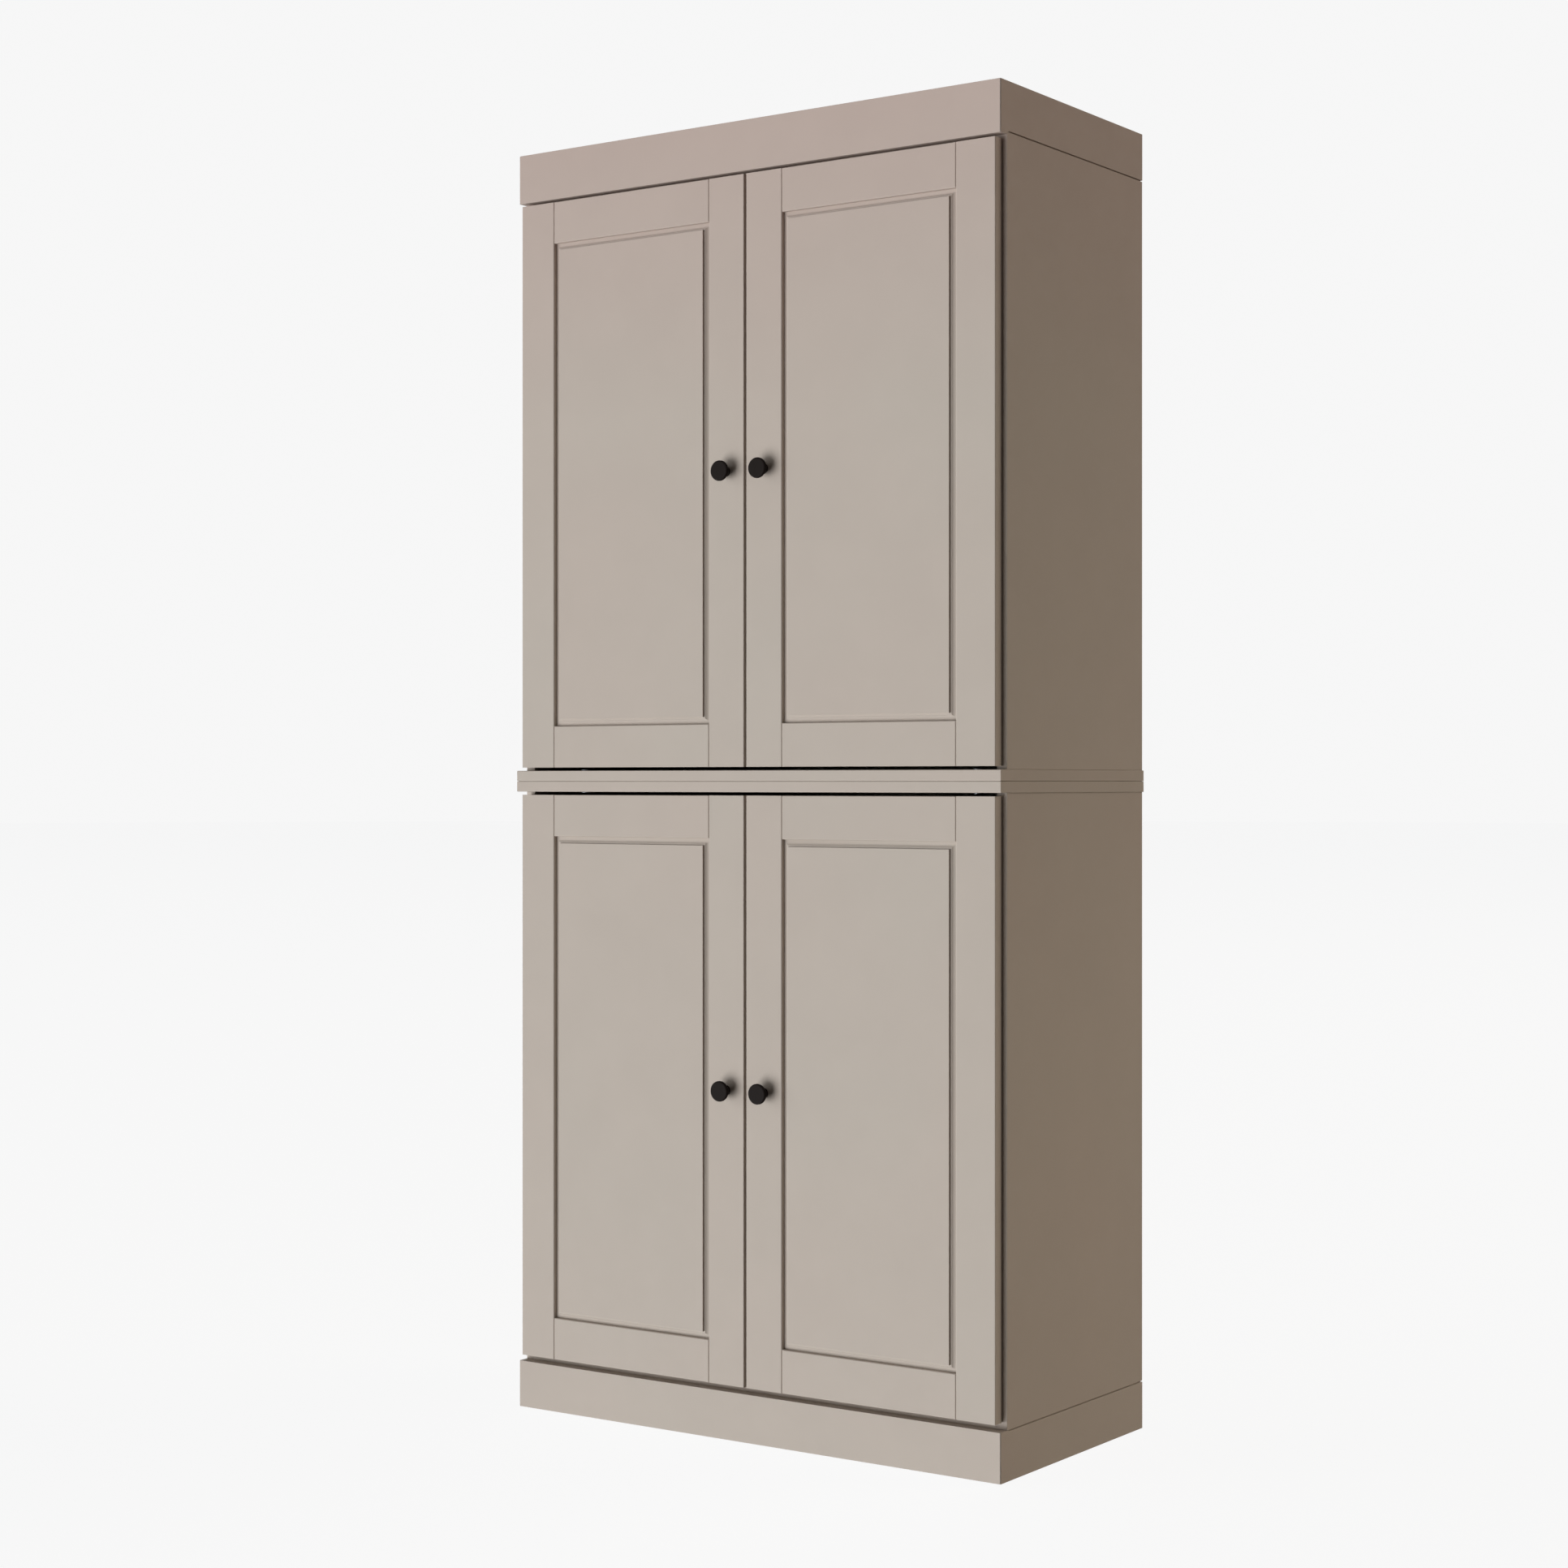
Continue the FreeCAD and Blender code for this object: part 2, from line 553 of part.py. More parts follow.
def side_panel(module, side_name, side):
    """Pressed board with a groove for the back and two rows of shelf holes."""
    tag = f"{module}_{side_name}_side"
    height, base = {
        "lower": ("lower_side_top - plinth_height", "plinth_height"),
        "upper": ("crown_bottom - upper_side_bottom", "upper_side_bottom"),
    }[module]
    body = doc.addObject("PartDesign::Body", tag + "_blank")
    sign = "" if side > 0 else "-"
    groove_front = "back_front_y - groove_play - side_front_y"
    groove_rear = "back_front_y + back_thickness + groove_play - side_front_y"
    corners = [("0", "0"), (f"{sign}side_thickness", "0"),
               (f"{sign}side_thickness", "side_depth"), ("0", "side_depth"),
               ("0", groove_rear), (f"{sign}groove_depth", groove_rear),
               (f"{sign}groove_depth", groove_front), ("0", groove_front)]
    pad(body, tag + "_pad", outline(body, tag + "_outline", "XY_Plane", corners), height)
    doc.recompute()
    full = body.Shape.Volume

    circles = body.newObject("Sketcher::SketchObject", tag + "_first_holes")
    circles.AttachmentSupport = [(origin_feature(body, "YZ_Plane"), "")]
    circles.MapMode = "FlatFace"
    for number, row_y in enumerate(PIN_ROWS):
        circles.addGeometry(Part.Circle(Vector(number + 1, 1, 0), Vector(0, 0, 1), 1))
        places = (("DistanceX", f"{row_y} - side_front_y"), ("DistanceY", f"{module}_first_hole"))
        for kind, text in places:
            index = circles.addConstraint(Sketcher.Constraint(kind, -1, 1, number, 3, 1.0))
            bind(circles, f"Constraints[{index}]", text)
        index = circles.addConstraint(Sketcher.Constraint("Radius", number, 1.0))
        bind(circles, f"Constraints[{index}]", "pin_radius + pin_hole_play")
    holes = body.newObject("PartDesign::Pocket", tag + "_first_pocket")
    holes.Profile = circles
    holes.Reversed = side > 0
    bind(holes, "Length", "pin_hole_depth")
    doc.recompute()
    if body.Shape.Volume > full - 1:
        raise RuntimeError(tag + ": the shelf holes missed the panel")

    pattern = body.newObject("PartDesign::LinearPattern", tag + "_hole_rows")
    pattern.Originals = [holes]
    pattern.Direction = (origin_feature(body, "Z_Axis"), [""])
    bind(pattern, "Length", "(pin_count - 1) * pin_pitch")
    bind(pattern, "Occurrences", "pin_count")
    body.Tip = pattern
    place(body, (signed(side, "side_inner_x"), "side_front_y", base))
    keep(tag, cut(tag + "_bored", body, side_holes(module, side, tag)))


for module in MODULES:
    for side_name, side in SIDES:
        side_panel(module, side_name, side)
        joint_fittings(module, side, f"{module}_{side_name}")


# ---------------------------------------------------------------- boards and backs

GROOVE_Y = ("back_front_y - groove_play", "back_thickness + 2 * groove_play")


def inner_board(name, module):
    """Bottom of the lower module or top of the upper one, between the side panels."""
    low_z = {"lower": "plinth_height", "upper": "upper_ceiling"}[module]
    groove_z = {"lower": "lower_floor - groove_depth", "upper": "upper_ceiling"}[module]
    blank = box(name + "_blank", ("-side_inner_x", "side_front_y", low_z),
                ("2 * side_inner_x", "side_depth", "board_thickness"))
    tools = [box(name + "_groove", ("-side_inner_x", GROOVE_Y[0], groove_z),
                 ("2 * side_inner_x", GROOVE_Y[1], "groove_depth"))]
    for side_name, side in SIDES:
        tools += board_end_holes(f"{name}_{side_name}", module, side)
    if module == "upper":
        tools += [rod(f"{name}_bracket_hole", (x, BRACKET_SCREW_Y, "upper_ceiling"),
                      "wood_screw_radius + wood_screw_play",
                      "wood_screw_length + wood_screw_play", "+z") for x in BRACKET_SCREW_X]
    keep(name, cut(name + "_bored", blank, tools))


def middle_board(name, module):
    """Top of the lower module or bottom of the upper one, past the sides all round."""
    low_z = {"lower": "lower_side_top", "upper": "module_height"}[module]
    face = {"lower": ("lower_side_top", "+z"), "upper": ("upper_side_bottom", "-z")}[module]
    groove_z = {"lower": "lower_side_top", "upper": "upper_side_bottom - groove_depth"}[module]
    front_y = "crown_front_y - middle_proud"
    half = "half_width + middle_overhang"
    body = doc.addObject("PartDesign::Body", name + "_blank")
    depth = f"back_y - ({front_y})"
    corners = [("board_arris", "0"), (depth, "0"), (depth, "board_thickness"),
               ("board_arris", "board_thickness"), ("0", "board_thickness - board_arris"),
               ("0", "board_arris")]
    profile = outline(body, name + "_profile", "YZ_Plane", corners)
    pad(body, name + "_pad", profile, f"2 * ({half})", symmetric=True)
    place(body, ("0", front_y, low_z))
    tools = [box(name + "_groove", ("-side_inner_x - groove_depth", GROOVE_Y[0], groove_z),
                 ("2 * (side_inner_x + groove_depth)", GROOVE_Y[1], "groove_depth"))]
    seam_z = {"lower": "module_height - seam_gap / 2", "upper": "module_height"}[module]
    for side_name, side in SIDES:
        tools += board_face_holes(f"{name}_{side_name}", face[0], face[1], side)
        tools.append(side_box(f"{name}_{side_name}_seam", side, f"{half} - joint_gap_depth",
                              half, front_y, depth, seam_z, "seam_gap / 2"))
    keep(name, cut(name + "_bored", body, tools))


def back_panel(name, floor, ceiling, holes=()):
    tongue = "(groove_depth - groove_end_play)"
    blank = box(name + "_blank",
                (f"-side_inner_x - {tongue}", "back_front_y", f"{floor} - {tongue}"),
                (f"2 * (side_inner_x + {tongue})", "back_thickness",
                 f"{ceiling} - {floor} + 2 * {tongue}"))
    keep(name, cut(name + "_bored", blank, holes) if holes else blank)


# The two wall brackets hang under the upper top board, against the back panel.
BRACKET_X = ("-bracket_spacing / 2", "bracket_spacing / 2")
BRACKET_SCREW_X = [f"{x} {sign} bracket_screw_half" for x in BRACKET_X for sign in "-+"]
BRACKET_SCREW_Y = "back_front_y - bracket_screw_reach"
WALL_HOLE_Z = "upper_ceiling - wall_hole_drop"

inner_board("lower_bottom_board", "lower")
middle_board("lower_top_board", "lower")
middle_board("upper_bottom_board", "upper")
inner_board("upper_top_board", "upper")
back_panel("lower_back_panel", "lower_floor", "lower_side_top")
wall_holes = [rod("back_wall_hole", (x, "back_front_y", WALL_HOLE_Z), "wall_hole_radius",
                  "back_thickness", "+y") for x in BRACKET_X]
back_panel("upper_back_panel", "upper_side_bottom", "upper_ceiling", wall_holes)


# ---------------------------------------------------------------- plinth and crown

def trim_board(name, corners, low_z, height, holes=()):
    body = doc.addObject("PartDesign::Body", name + "_blank")
    pad(body, name + "_pad", outline(body, name + "_plan", "XY_Plane", corners), height)
    place(body, ("0", "crown_front_y", low_z))
    keep(name, cut(name + "_bored", body, holes) if holes else body)


def rebate(name, lip):
    """What is cut away behind a crown board's lip, so that the board sits on the case."""
    if lip == "0":
        return []
    return [box(f"{name}_rebate", ("-half_width - 1", "side_front_y - lip_play",
                                   f"crown_bottom - 2 * {lip}"),
                ("cabinet_width + 2", "cabinet_depth", f"2 * {lip}"))]


def trim_ring(module, low_z, height, lip):
    """Four boards: a front mitred to the two ends, and a rear between them."""
    name = {"lower": "plinth", "upper": "crown"}[module]
    foot, tall = f"{low_z} - {lip}", f"{height} + {lip}"
    edge, into = TRIM[module]
    gap_base = {"lower": "plinth_height - joint_gap", "upper": "crown_bottom"}[module]
    corner = "half_width - trim_arris"
    mitre = "half_width - trim_arris / 2"
    inside = "half_width - trim_thickness"
    front = [(f"-({corner})", "0"), (corner, "0"), (mitre, "trim_arris / 2"),
             (inside, "trim_thickness"), (f"-({inside})", "trim_thickness"),
             (f"-({mitre})", "trim_arris / 2")]
    trim_board(f"{name}_front", front, foot, tall, rebate(f"{name}_front", lip))
    for side_name, side in SIDES:
        sign = "" if side > 0 else "-"
        end = [(f"{sign}({mitre})", "trim_arris / 2"), (f"{sign}(half_width)", "trim_arris"),
               (f"{sign}(half_width)", "cabinet_depth"), (f"{sign}({inside})", "cabinet_depth"),
               (f"{sign}({inside})", "trim_thickness")]
        holes = [rod(f"{name}_{side_name}_{row}_dowel_hole",
                     (signed(side, "side_middle_x"), TRIM_ROWS[row], edge),
                     "dowel_radius + dowel_play", "trim_dowel_half + dowel_play",
                     OPPOSITE[into]) for row in FRONT_REAR]
        gap = shadow_gap(f"{name}_{side_name}", side, "half_width", gap_base, "joint_gap")
        trim_board(f"{name}_{side_name}", end, foot, tall,
                   holes + [gap] + rebate(f"{name}_{side_name}", lip))
    rear = box(f"{name}_rear_board", (f"-({inside})", "back_y - trim_thickness", low_z),
               (f"2 * ({inside})", "trim_thickness", height))
    keep(f"{name}_rear", rear)


trim_ring("lower", "0", "plinth_height", "0")
trim_ring("upper", "crown_bottom", "crown_height", "crown_lip")
lid = box("crown_lid", ("-half_width + trim_thickness", "crown_front_y + trim_thickness",
                        "cabinet_height - board_thickness"),
          ("cabinet_width - 2 * trim_thickness", "cabinet_depth - 2 * trim_thickness",
           "board_thickness"))
keep("crown_top", lid)


# ---------------------------------------------------------------- shelves and pins

FLOORS = {"lower": "lower_floor", "upper": "upper_side_bottom"}
pins = []


def shelf_pin(name, side, depth_y, level):
    pin = rod(name + "_peg", (signed(side, "side_inner_x + pin_sunk"), depth_y, level),
              "pin_radius", "pin_sunk + pin_reach", inward(side))
    collar = rod(name + "_collar", (signed(side, "side_inner_x"), depth_y, level),
                 "pin_collar_radius", "pin_collar_length", inward(side))
    return fuse(name, [pin, collar])


for module in MODULES:
    for level_name in ("low", "high"):
        hole = f"{FLOORS[module]} + pin_first + {level_name}_free_count * pin_pitch"
        shelf = box(f"{module}_{level_name}_shelf_board",
                    ("-side_inner_x + shelf_end_play", "side_front_y + shelf_setback",
                     f"{hole} + pin_radius"),
                    ("2 * (side_inner_x - shelf_end_play)",
                     "back_front_y - shelf_end_play - side_front_y - shelf_setback",
                     "shelf_thickness"))
        keep(f"{module}_{level_name}_shelf", shelf)
        for side_name, side in SIDES:
            for row, row_y in zip(FRONT_REAR, PIN_ROWS):
                pins.append(shelf_pin(f"{module}_{level_name}_{side_name}_{row}_pin", side,
                                      row_y, hole))
keep("shelf_pins", group("shelf_pin_set", pins))


# ---------------------------------------------------------------- hinge arms and plates
# Each arm's eye turns on the pin in the door's cup. Its leg goes back past the edge of
# the side panel, and its channel is screwed to the spine of the mounting plate.

arms = []
plates = []
screws = []


def hinge_arm(name, side, level):
    low = f"{level} - lug_half"
    eye = rod(name + "_eye", (signed(side, "pin_x"), "pin_y", low), "eye_radius",
              "2 * lug_half", "+z")
    nose_front = "pin_y - lug_half_thickness"
    lug = side_box(name + "_lug", side, "leg_x - arm_steel", "pin_x", nose_front,
                   "2 * lug_half_thickness", low, "2 * lug_half")
    leg = side_box(name + "_leg", side, "leg_x - arm_steel", "leg_x", nose_front,
                   f"side_front_y + arm_start + arm_steel - ({nose_front})", low,
                   "2 * lug_half")
    channel = side_box(name + "_channel", side, "leg_x - arm_steel",
                       "side_inner_x - channel_lift", "side_front_y + arm_start",
                       "arm_end - arm_start", f"{level} - channel_half", "2 * channel_half")
    solid = fuse(name + "_solid", [eye, lug, leg, channel])
    hollow = side_box(name + "_hollow", side, "leg_x", "side_inner_x",
                      "side_front_y + arm_start + arm_steel", "arm_end",
                      f"{level} - channel_half + channel_wall",
                      "2 * (channel_half - channel_wall)")
    bore = rod(name + "_bore", (signed(side, "pin_x"), "pin_y", low),
               "hinge_pin_radius + hinge_pin_play", "2 * lug_half", "+z")
    screw_hole = rod(name + "_screw_hole",
                     (signed(side, "leg_x - arm_steel"), "side_front_y + arm_screw_back", level),
                     "arm_screw_radius + arm_hole_play", "arm_steel", outward(side))
    return cut(name, solid, [hollow, bore, screw_hole])


def hinge_plate(name, side, level):
    wings = side_box(name + "_wings", side, "side_inner_x - plate_thickness", "side_inner_x",
                     "side_front_y + plate_start", "plate_end - plate_start",
                     f"{level} - plate_half", "2 * plate_half")
    spine = side_box(name + "_spine", side, "leg_x + spine_play", "side_inner_x",
                     "side_front_y + spine_start", "spine_end - spine_start",
                     f"{level} - spine_half", "2 * spine_half")
    solid = fuse(name + "_solid", [wings, spine])
    holes = [rod(f"{name}_hole",
                 (signed(side, "side_inner_x - plate_thickness"),
                  "side_front_y + pin_row_front", f"{level} {sign} plate_screw_rise"),
                 "wood_screw_radius + wood_screw_play", "plate_thickness", outward(side))
             for sign in "-+"]
    holes.append(rod(f"{name}_thread",
                     (signed(side, "leg_x + spine_play"), "side_front_y + arm_screw_back", level),
                     "arm_screw_radius + arm_screw_play",
                     "side_inner_x - leg_x - spine_play - arm_thread_clear", outward(side)))
    return cut(name, solid, holes)


def screw(name, seat, head_radius, head_height, shank_radius, length, into):
    """A screw whose head lies on the seat and whose shank goes the way of into."""
    head = rod(name + "_head", seat, head_radius, head_height, OPPOSITE[into])
    shank = rod(name + "_shank", seat, shank_radius, length, into)
    return fuse(name, [head, shank])


for module in MODULES:
    for side_name, side in SIDES:
        for spot, level in zip(("low", "high"), HINGE_LEVELS[module]):
            tag = f"{module}_{side_name}_{spot}"
            arms.append(hinge_arm(tag + "_arm", side, level))
            plates.append(hinge_plate(tag + "_plate", side, level))
            for sign in "-+":
                seat = (signed(side, "side_inner_x - plate_thickness"),
                        "side_front_y + pin_row_front", f"{level} {sign} plate_screw_rise")
                screws.append(screw(tag + "_plate_screw", seat, "screw_head_radius",
                                    "screw_head_height", "wood_screw_radius",
                                    "plate_thickness + wood_screw_length", outward(side)))
            seat = (signed(side, "leg_x - arm_steel"), "side_front_y + arm_screw_back", level)
            screws.append(screw(tag + "_arm_screw", seat, "screw_head_radius",
                                "screw_head_height", "arm_screw_radius",
                                "side_inner_x - leg_x + arm_steel - arm_screw_clear",
                                outward(side)))
keep("hinge_arms", group("hinge_arm_set", arms))
keep("hinge_plates", group("hinge_plate_set", plates))


# ---------------------------------------------------------------- wall brackets

def wall_bracket(name, x):
    corner_x = f"{x} - bracket_width / 2"
    upright = box(name + "_upright",
                  (corner_x, "back_front_y - bracket_steel", "upper_ceiling - bracket_drop"),
                  ("bracket_width", "bracket_steel", "bracket_drop"))
    flat = box(name + "_flat",
               (corner_x, "back_front_y - bracket_reach", "upper_ceiling - bracket_steel"),
               ("bracket_width", "bracket_reach", "bracket_steel"))
    holes = [rod(f"{name}_screw_hole",
                 (f"{x} {sign} bracket_screw_half", BRACKET_SCREW_Y,
                  "upper_ceiling - bracket_steel"),
                 "wood_screw_radius + wood_screw_play", "bracket_steel", "+z") for sign in "-+"]
    holes.append(rod(name + "_wall_hole", (x, "back_front_y - bracket_steel", WALL_HOLE_Z),
                     "wall_hole_radius", "bracket_steel", "+y"))
    return cut(name, fuse(name + "_solid", [upright, flat]), holes)


brackets = [wall_bracket(f"{side_name}_bracket", x)
            for (side_name, side), x in zip(SIDES, BRACKET_X)]
keep("wall_brackets", group("wall_bracket_set", brackets))
for x in BRACKET_SCREW_X:
    screws.append(screw("bracket_screw", (x, BRACKET_SCREW_Y, "upper_ceiling - bracket_steel"),
                        "screw_head_radius", "screw_head_height", "wood_screw_radius",
                        "bracket_steel + wood_screw_length", "+z"))
keep("mounting_screws", group("mounting_screw_set", screws))


# ---------------------------------------------------------------- module bolts, bumpers

def module_bolt(name, x, y):
    """A bolt from the upper module's floor and its sleeve nut from below."""
    head = rod(name + "_head", (x, y, "upper_side_bottom"), "joiner_head_radius",
               "joiner_head_height", "+z")
    shank = rod(name + "_shank", (x, y, "upper_side_bottom"), "joiner_radius",
                "joiner_bolt_length", "-z")
    bolt = fuse(name + "_bolt", [head, shank])
    foot = rod(name + "_foot", (x, y, "lower_side_top"), "joiner_head_radius",
               "joiner_head_height", "-z")
    tube = rod(name + "_tube", (x, y, "lower_side_top"), "joiner_sleeve_radius",
               "joiner_sleeve_length", "+z")
    thread = rod(name + "_thread", (x, y, "lower_side_top"), "joiner_radius + joiner_play",
                 "joiner_sleeve_length", "+z")
    sleeve = cut(name + "_sleeve", fuse(name + "_sleeve_solid", [foot, tube]), [thread])
    return [bolt, sleeve]


joiners = []
for side_name, side in SIDES:
    for end in FRONT_REAR:
        joiners += module_bolt(f"{side_name}_{end}_joiner",
                               signed(side, "side_inner_x - joiner_in"), JOINER_ROWS[end])
keep("module_bolts", group("module_bolt_set", joiners))

bumpers = []
for module, level in (("lower", "lower_door_bottom + bumper_end"),
                      ("upper", "upper_door_top - bumper_end")):
    for side_name, side in SIDES:
        bumpers.append(rod(f"{module}_{side_name}_bumper",
                           (signed(side, "bumper_in"), "side_front_y", level),
                           "bumper_radius", "gap_behind_door - bumper_play", "-y"))
keep("door_bumpers", group("door_bumper_set", bumpers))
keep("dowels", group("dowel_set", dowels))
keep("cam_fittings", group("cam_fitting_set", cam_fittings))


# ---------------------------------------------------------------- doors
# Stiles and rails share one section, laid out from the outer edge (x) and from the
# front face (y). The rails have stub tenons that fill the ends of the stiles' grooves.

STILE_SECTION = [
    ("door_arris", "0"), ("frame_width - frame_arris", "0"), ("frame_width", "frame_arris"),
    ("frame_width", "margin_depth - groove_play"),
    ("frame_width - frame_groove", "margin_depth - groove_play"),
    ("frame_width - frame_groove", "panel_rear + groove_play"),
    ("frame_width", "panel_rear + groove_play"), ("frame_width", "door_thickness"),
    ("0", "door_thickness"), ("0", "door_arris"),
]
TURN_OVER = Rotation(Vector(0, 1, 0), 180)
TOP_RAIL_TURN = Rotation(Vector(0, 1, 0), 90)
BOTTOM_RAIL_TURN = Rotation(Vector(0, 1, 0), -90)


def stile(name, side, edge_x, faces_in, bottom, top):
    """Faces_in says which way the stile's inner edge looks: +1 to the right."""
    body = doc.addObject("PartDesign::Body", name + "_blank")
    section = outline(body, name + "_section", "XY_Plane", STILE_SECTION)
    pad(body, name + "_pad", section, f"{top} - {bottom}")
    if faces_in > 0:
        place(body, (edge_x, "door_front_y", bottom))
    else:
        place(body, (edge_x, "door_front_y", top), TURN_OVER)
    return body


def rail(name, middle_x, edge_z, turn):
    body = doc.addObject("PartDesign::Body", name + "_blank")
    section = outline(body, name + "_section", "XY_Plane", STILE_SECTION)
    pad(body, name + "_pad", section, "opening_width", symmetric=True)
    tenon_corners = [("0", "margin_depth"), ("frame_width - frame_groove", "margin_depth"),
                     ("frame_width - frame_groove", "panel_rear"), ("0", "panel_rear")]
    tenon = outline(body, name + "_tenon", "XY_Plane", tenon_corners)
    pad(body, name + "_tenon_pad", tenon, "opening_width + 2 * (frame_groove - tenon_play)",
        symmetric=True)
    doc.recompute()
    full = body.Shape.Volume
    bevel = body.newObject("Sketcher::SketchObject", name + "_end_bevels")
    bevel.AttachmentSupport = [(origin_feature(body, "YZ_Plane"), "")]
    bevel.MapMode = "FlatFace"
    for sign in ("", "-"):
        polygon(bevel, [("0", f"{sign}(opening_width / 2)"),
                        ("0", f"{sign}(opening_width / 2 - frame_arris)"),
                        ("frame_arris", f"{sign}(opening_width / 2)")])
    pocket = body.newObject("PartDesign::Pocket", name + "_end_bevel_cut")
    pocket.Profile = bevel
    pocket.SideType = "Symmetric"
    bind(pocket, "Length", "2 * frame_width")
    place(body, (middle_x, "door_front_y", edge_z), turn)
    doc.recompute()
    if body.Shape.Volume > full - 1:
        raise RuntimeError(name + ": the end bevels missed the rail")
    keep(name, body)


def raised_panel(name, middle_x, bottom, top):
    """A thin board whose field stands on a slope with a flat step round it."""
    across = "opening_width"
    tall = f"({top} - {bottom} - 2 * frame_width)"
    left_x = f"{middle_x} - {across} / 2"
    low_z = f"{bottom} + frame_width"
    sheet = box(name + "_sheet",
                (f"{left_x} - panel_tongue", "door_front_y + margin_depth",
                 f"{low_z} - panel_tongue"),
                (f"{across} + 2 * panel_tongue", "panel_rear - margin_depth",
                 f"{tall} + 2 * panel_tongue"))
    slope = doc.addObject("Part::Wedge", name + "_slope")
    foot = "margin_width"
    step = "(margin_width + slope_width)"
    for prop, text in (("Xmin", step), ("Xmax", f"{across} - {step}"),
                       ("Zmin", step), ("Zmax", f"{tall} - {step}"),
                       ("X2min", foot), ("X2max", f"{across} - {foot}"),
                       ("Z2min", foot), ("Z2max", f"{tall} - {foot}"),
                       ("Ymin", "field_step - field_proud"), ("Ymax", "margin_depth")):
        bind(slope, prop, text)
    place(slope, (left_x, "door_front_y", low_z))
    rim = "(margin_width + slope_width + step_width)"
    field = box(name + "_field", (f"{left_x} + {rim}", "door_front_y - field_proud",
                                  f"{low_z} + {rim}"),
                (f"{across} - 2 * {rim}", "panel_rear + field_proud", f"{tall} - 2 * {rim}"))
    keep(name, fuse(name + "_solid", [sheet, slope, field]))


def knob(name, x, level):
    """Turned knob with a flat face, a straight rim and a cone down to its foot."""
    body = doc.addObject("PartDesign::Body", name + "_turned")
    thread = "knob_screw_radius + knob_screw_play"
    corners = [(thread, "0"), ("knob_neck_radius", "0"), ("knob_neck_radius", "knob_foot"),
               ("knob_radius", "knob_projection - knob_rim"),
               ("knob_radius", "knob_projection - knob_bevel"),
               ("knob_radius - knob_bevel", "knob_projection"), ("0", "knob_projection"),
               ("0", "knob_bore_depth"), (thread, "knob_bore_depth")]
    turned = body.newObject("PartDesign::Revolution", name + "_revolution")
    turned.Profile = outline(body, name + "_profile", "XZ_Plane", corners)
    turned.ReferenceAxis = (origin_feature(body, "Z_Axis"), [""])
    turned.Angle = 360
    place(body, (x, "door_front_y", level), TURNS["-y"])
    fixing = screw(name + "_screw", (x, "door_back_y", level), "knob_head_radius",
                   "knob_head_height", "knob_screw_radius", "door_thickness + knob_screw_in",
                   "-y")
    keep(name, group(name + "_with_screw", [body, fixing]))


def hinge_cup(name, side, level):
    """Pressed cup with its wings and the pin that is riveted through its wall."""
    cup_x = signed(side, "cup_x")
    bottom_y = "door_back_y - cup_depth"
    shell = rod(name + "_shell", (cup_x, bottom_y, level), "cup_radius",
                "cup_depth + flange_thickness", "+y")
    rim = rod(name + "_rim", (cup_x, "door_back_y", level), "rim_radius",
              "flange_thickness", "+y")
    wings = side_box(name + "_wings", side, "door_outer_x - wing_start - wing_width",
                     "door_outer_x - wing_start", "door_back_y", "flange_thickness",
                     f"{level} - wing_half", "2 * wing_half")
    outer = fuse(name + "_outer", [shell, rim, wings])
    inside = rod(name + "_inside", (cup_x, f"{bottom_y} + cup_wall", level),
                 "cup_radius - cup_wall", "cup_depth + flange_thickness", "+y")
    window = side_box(name + "_window", side, "door_outer_x - window_in",
                      "door_outer_x", "door_back_y - window_depth",
                      "window_depth + flange_thickness", f"{level} - window_half",
                      "2 * window_half")
    tools = [inside, window]
    tools += [rod(name + "_wing_hole",
                  (signed(side, "door_outer_x - wing_screw_in"), "door_back_y",
                   f"{level} {sign} wing_screw_rise"),
                  "wood_screw_radius + wood_screw_play", "flange_thickness", "+y")
              for sign in "-+"]
    hollow = doc.addObject("Part::Cut", name + "_hollow")
    hollow.Base = outer
    hollow.Tool = fuse(name + "_tools", tools)
    pin = rod(name + "_pin", (signed(side, "pin_x"), "pin_y", f"{level} - hinge_pin_half"),
              "hinge_pin_radius", "2 * hinge_pin_half", "+z")
    wing_screws = [screw(name + "_wing_screw",
                         (signed(side, "door_outer_x - wing_screw_in"),
                          "door_back_y + flange_thickness", f"{level} {sign} wing_screw_rise"),
                         "screw_head_radius", "screw_head_height", "wood_screw_radius",
                         "wood_screw_length", "-y") for sign in "-+"]
    return [fuse(name, [hollow, pin])] + wing_screws


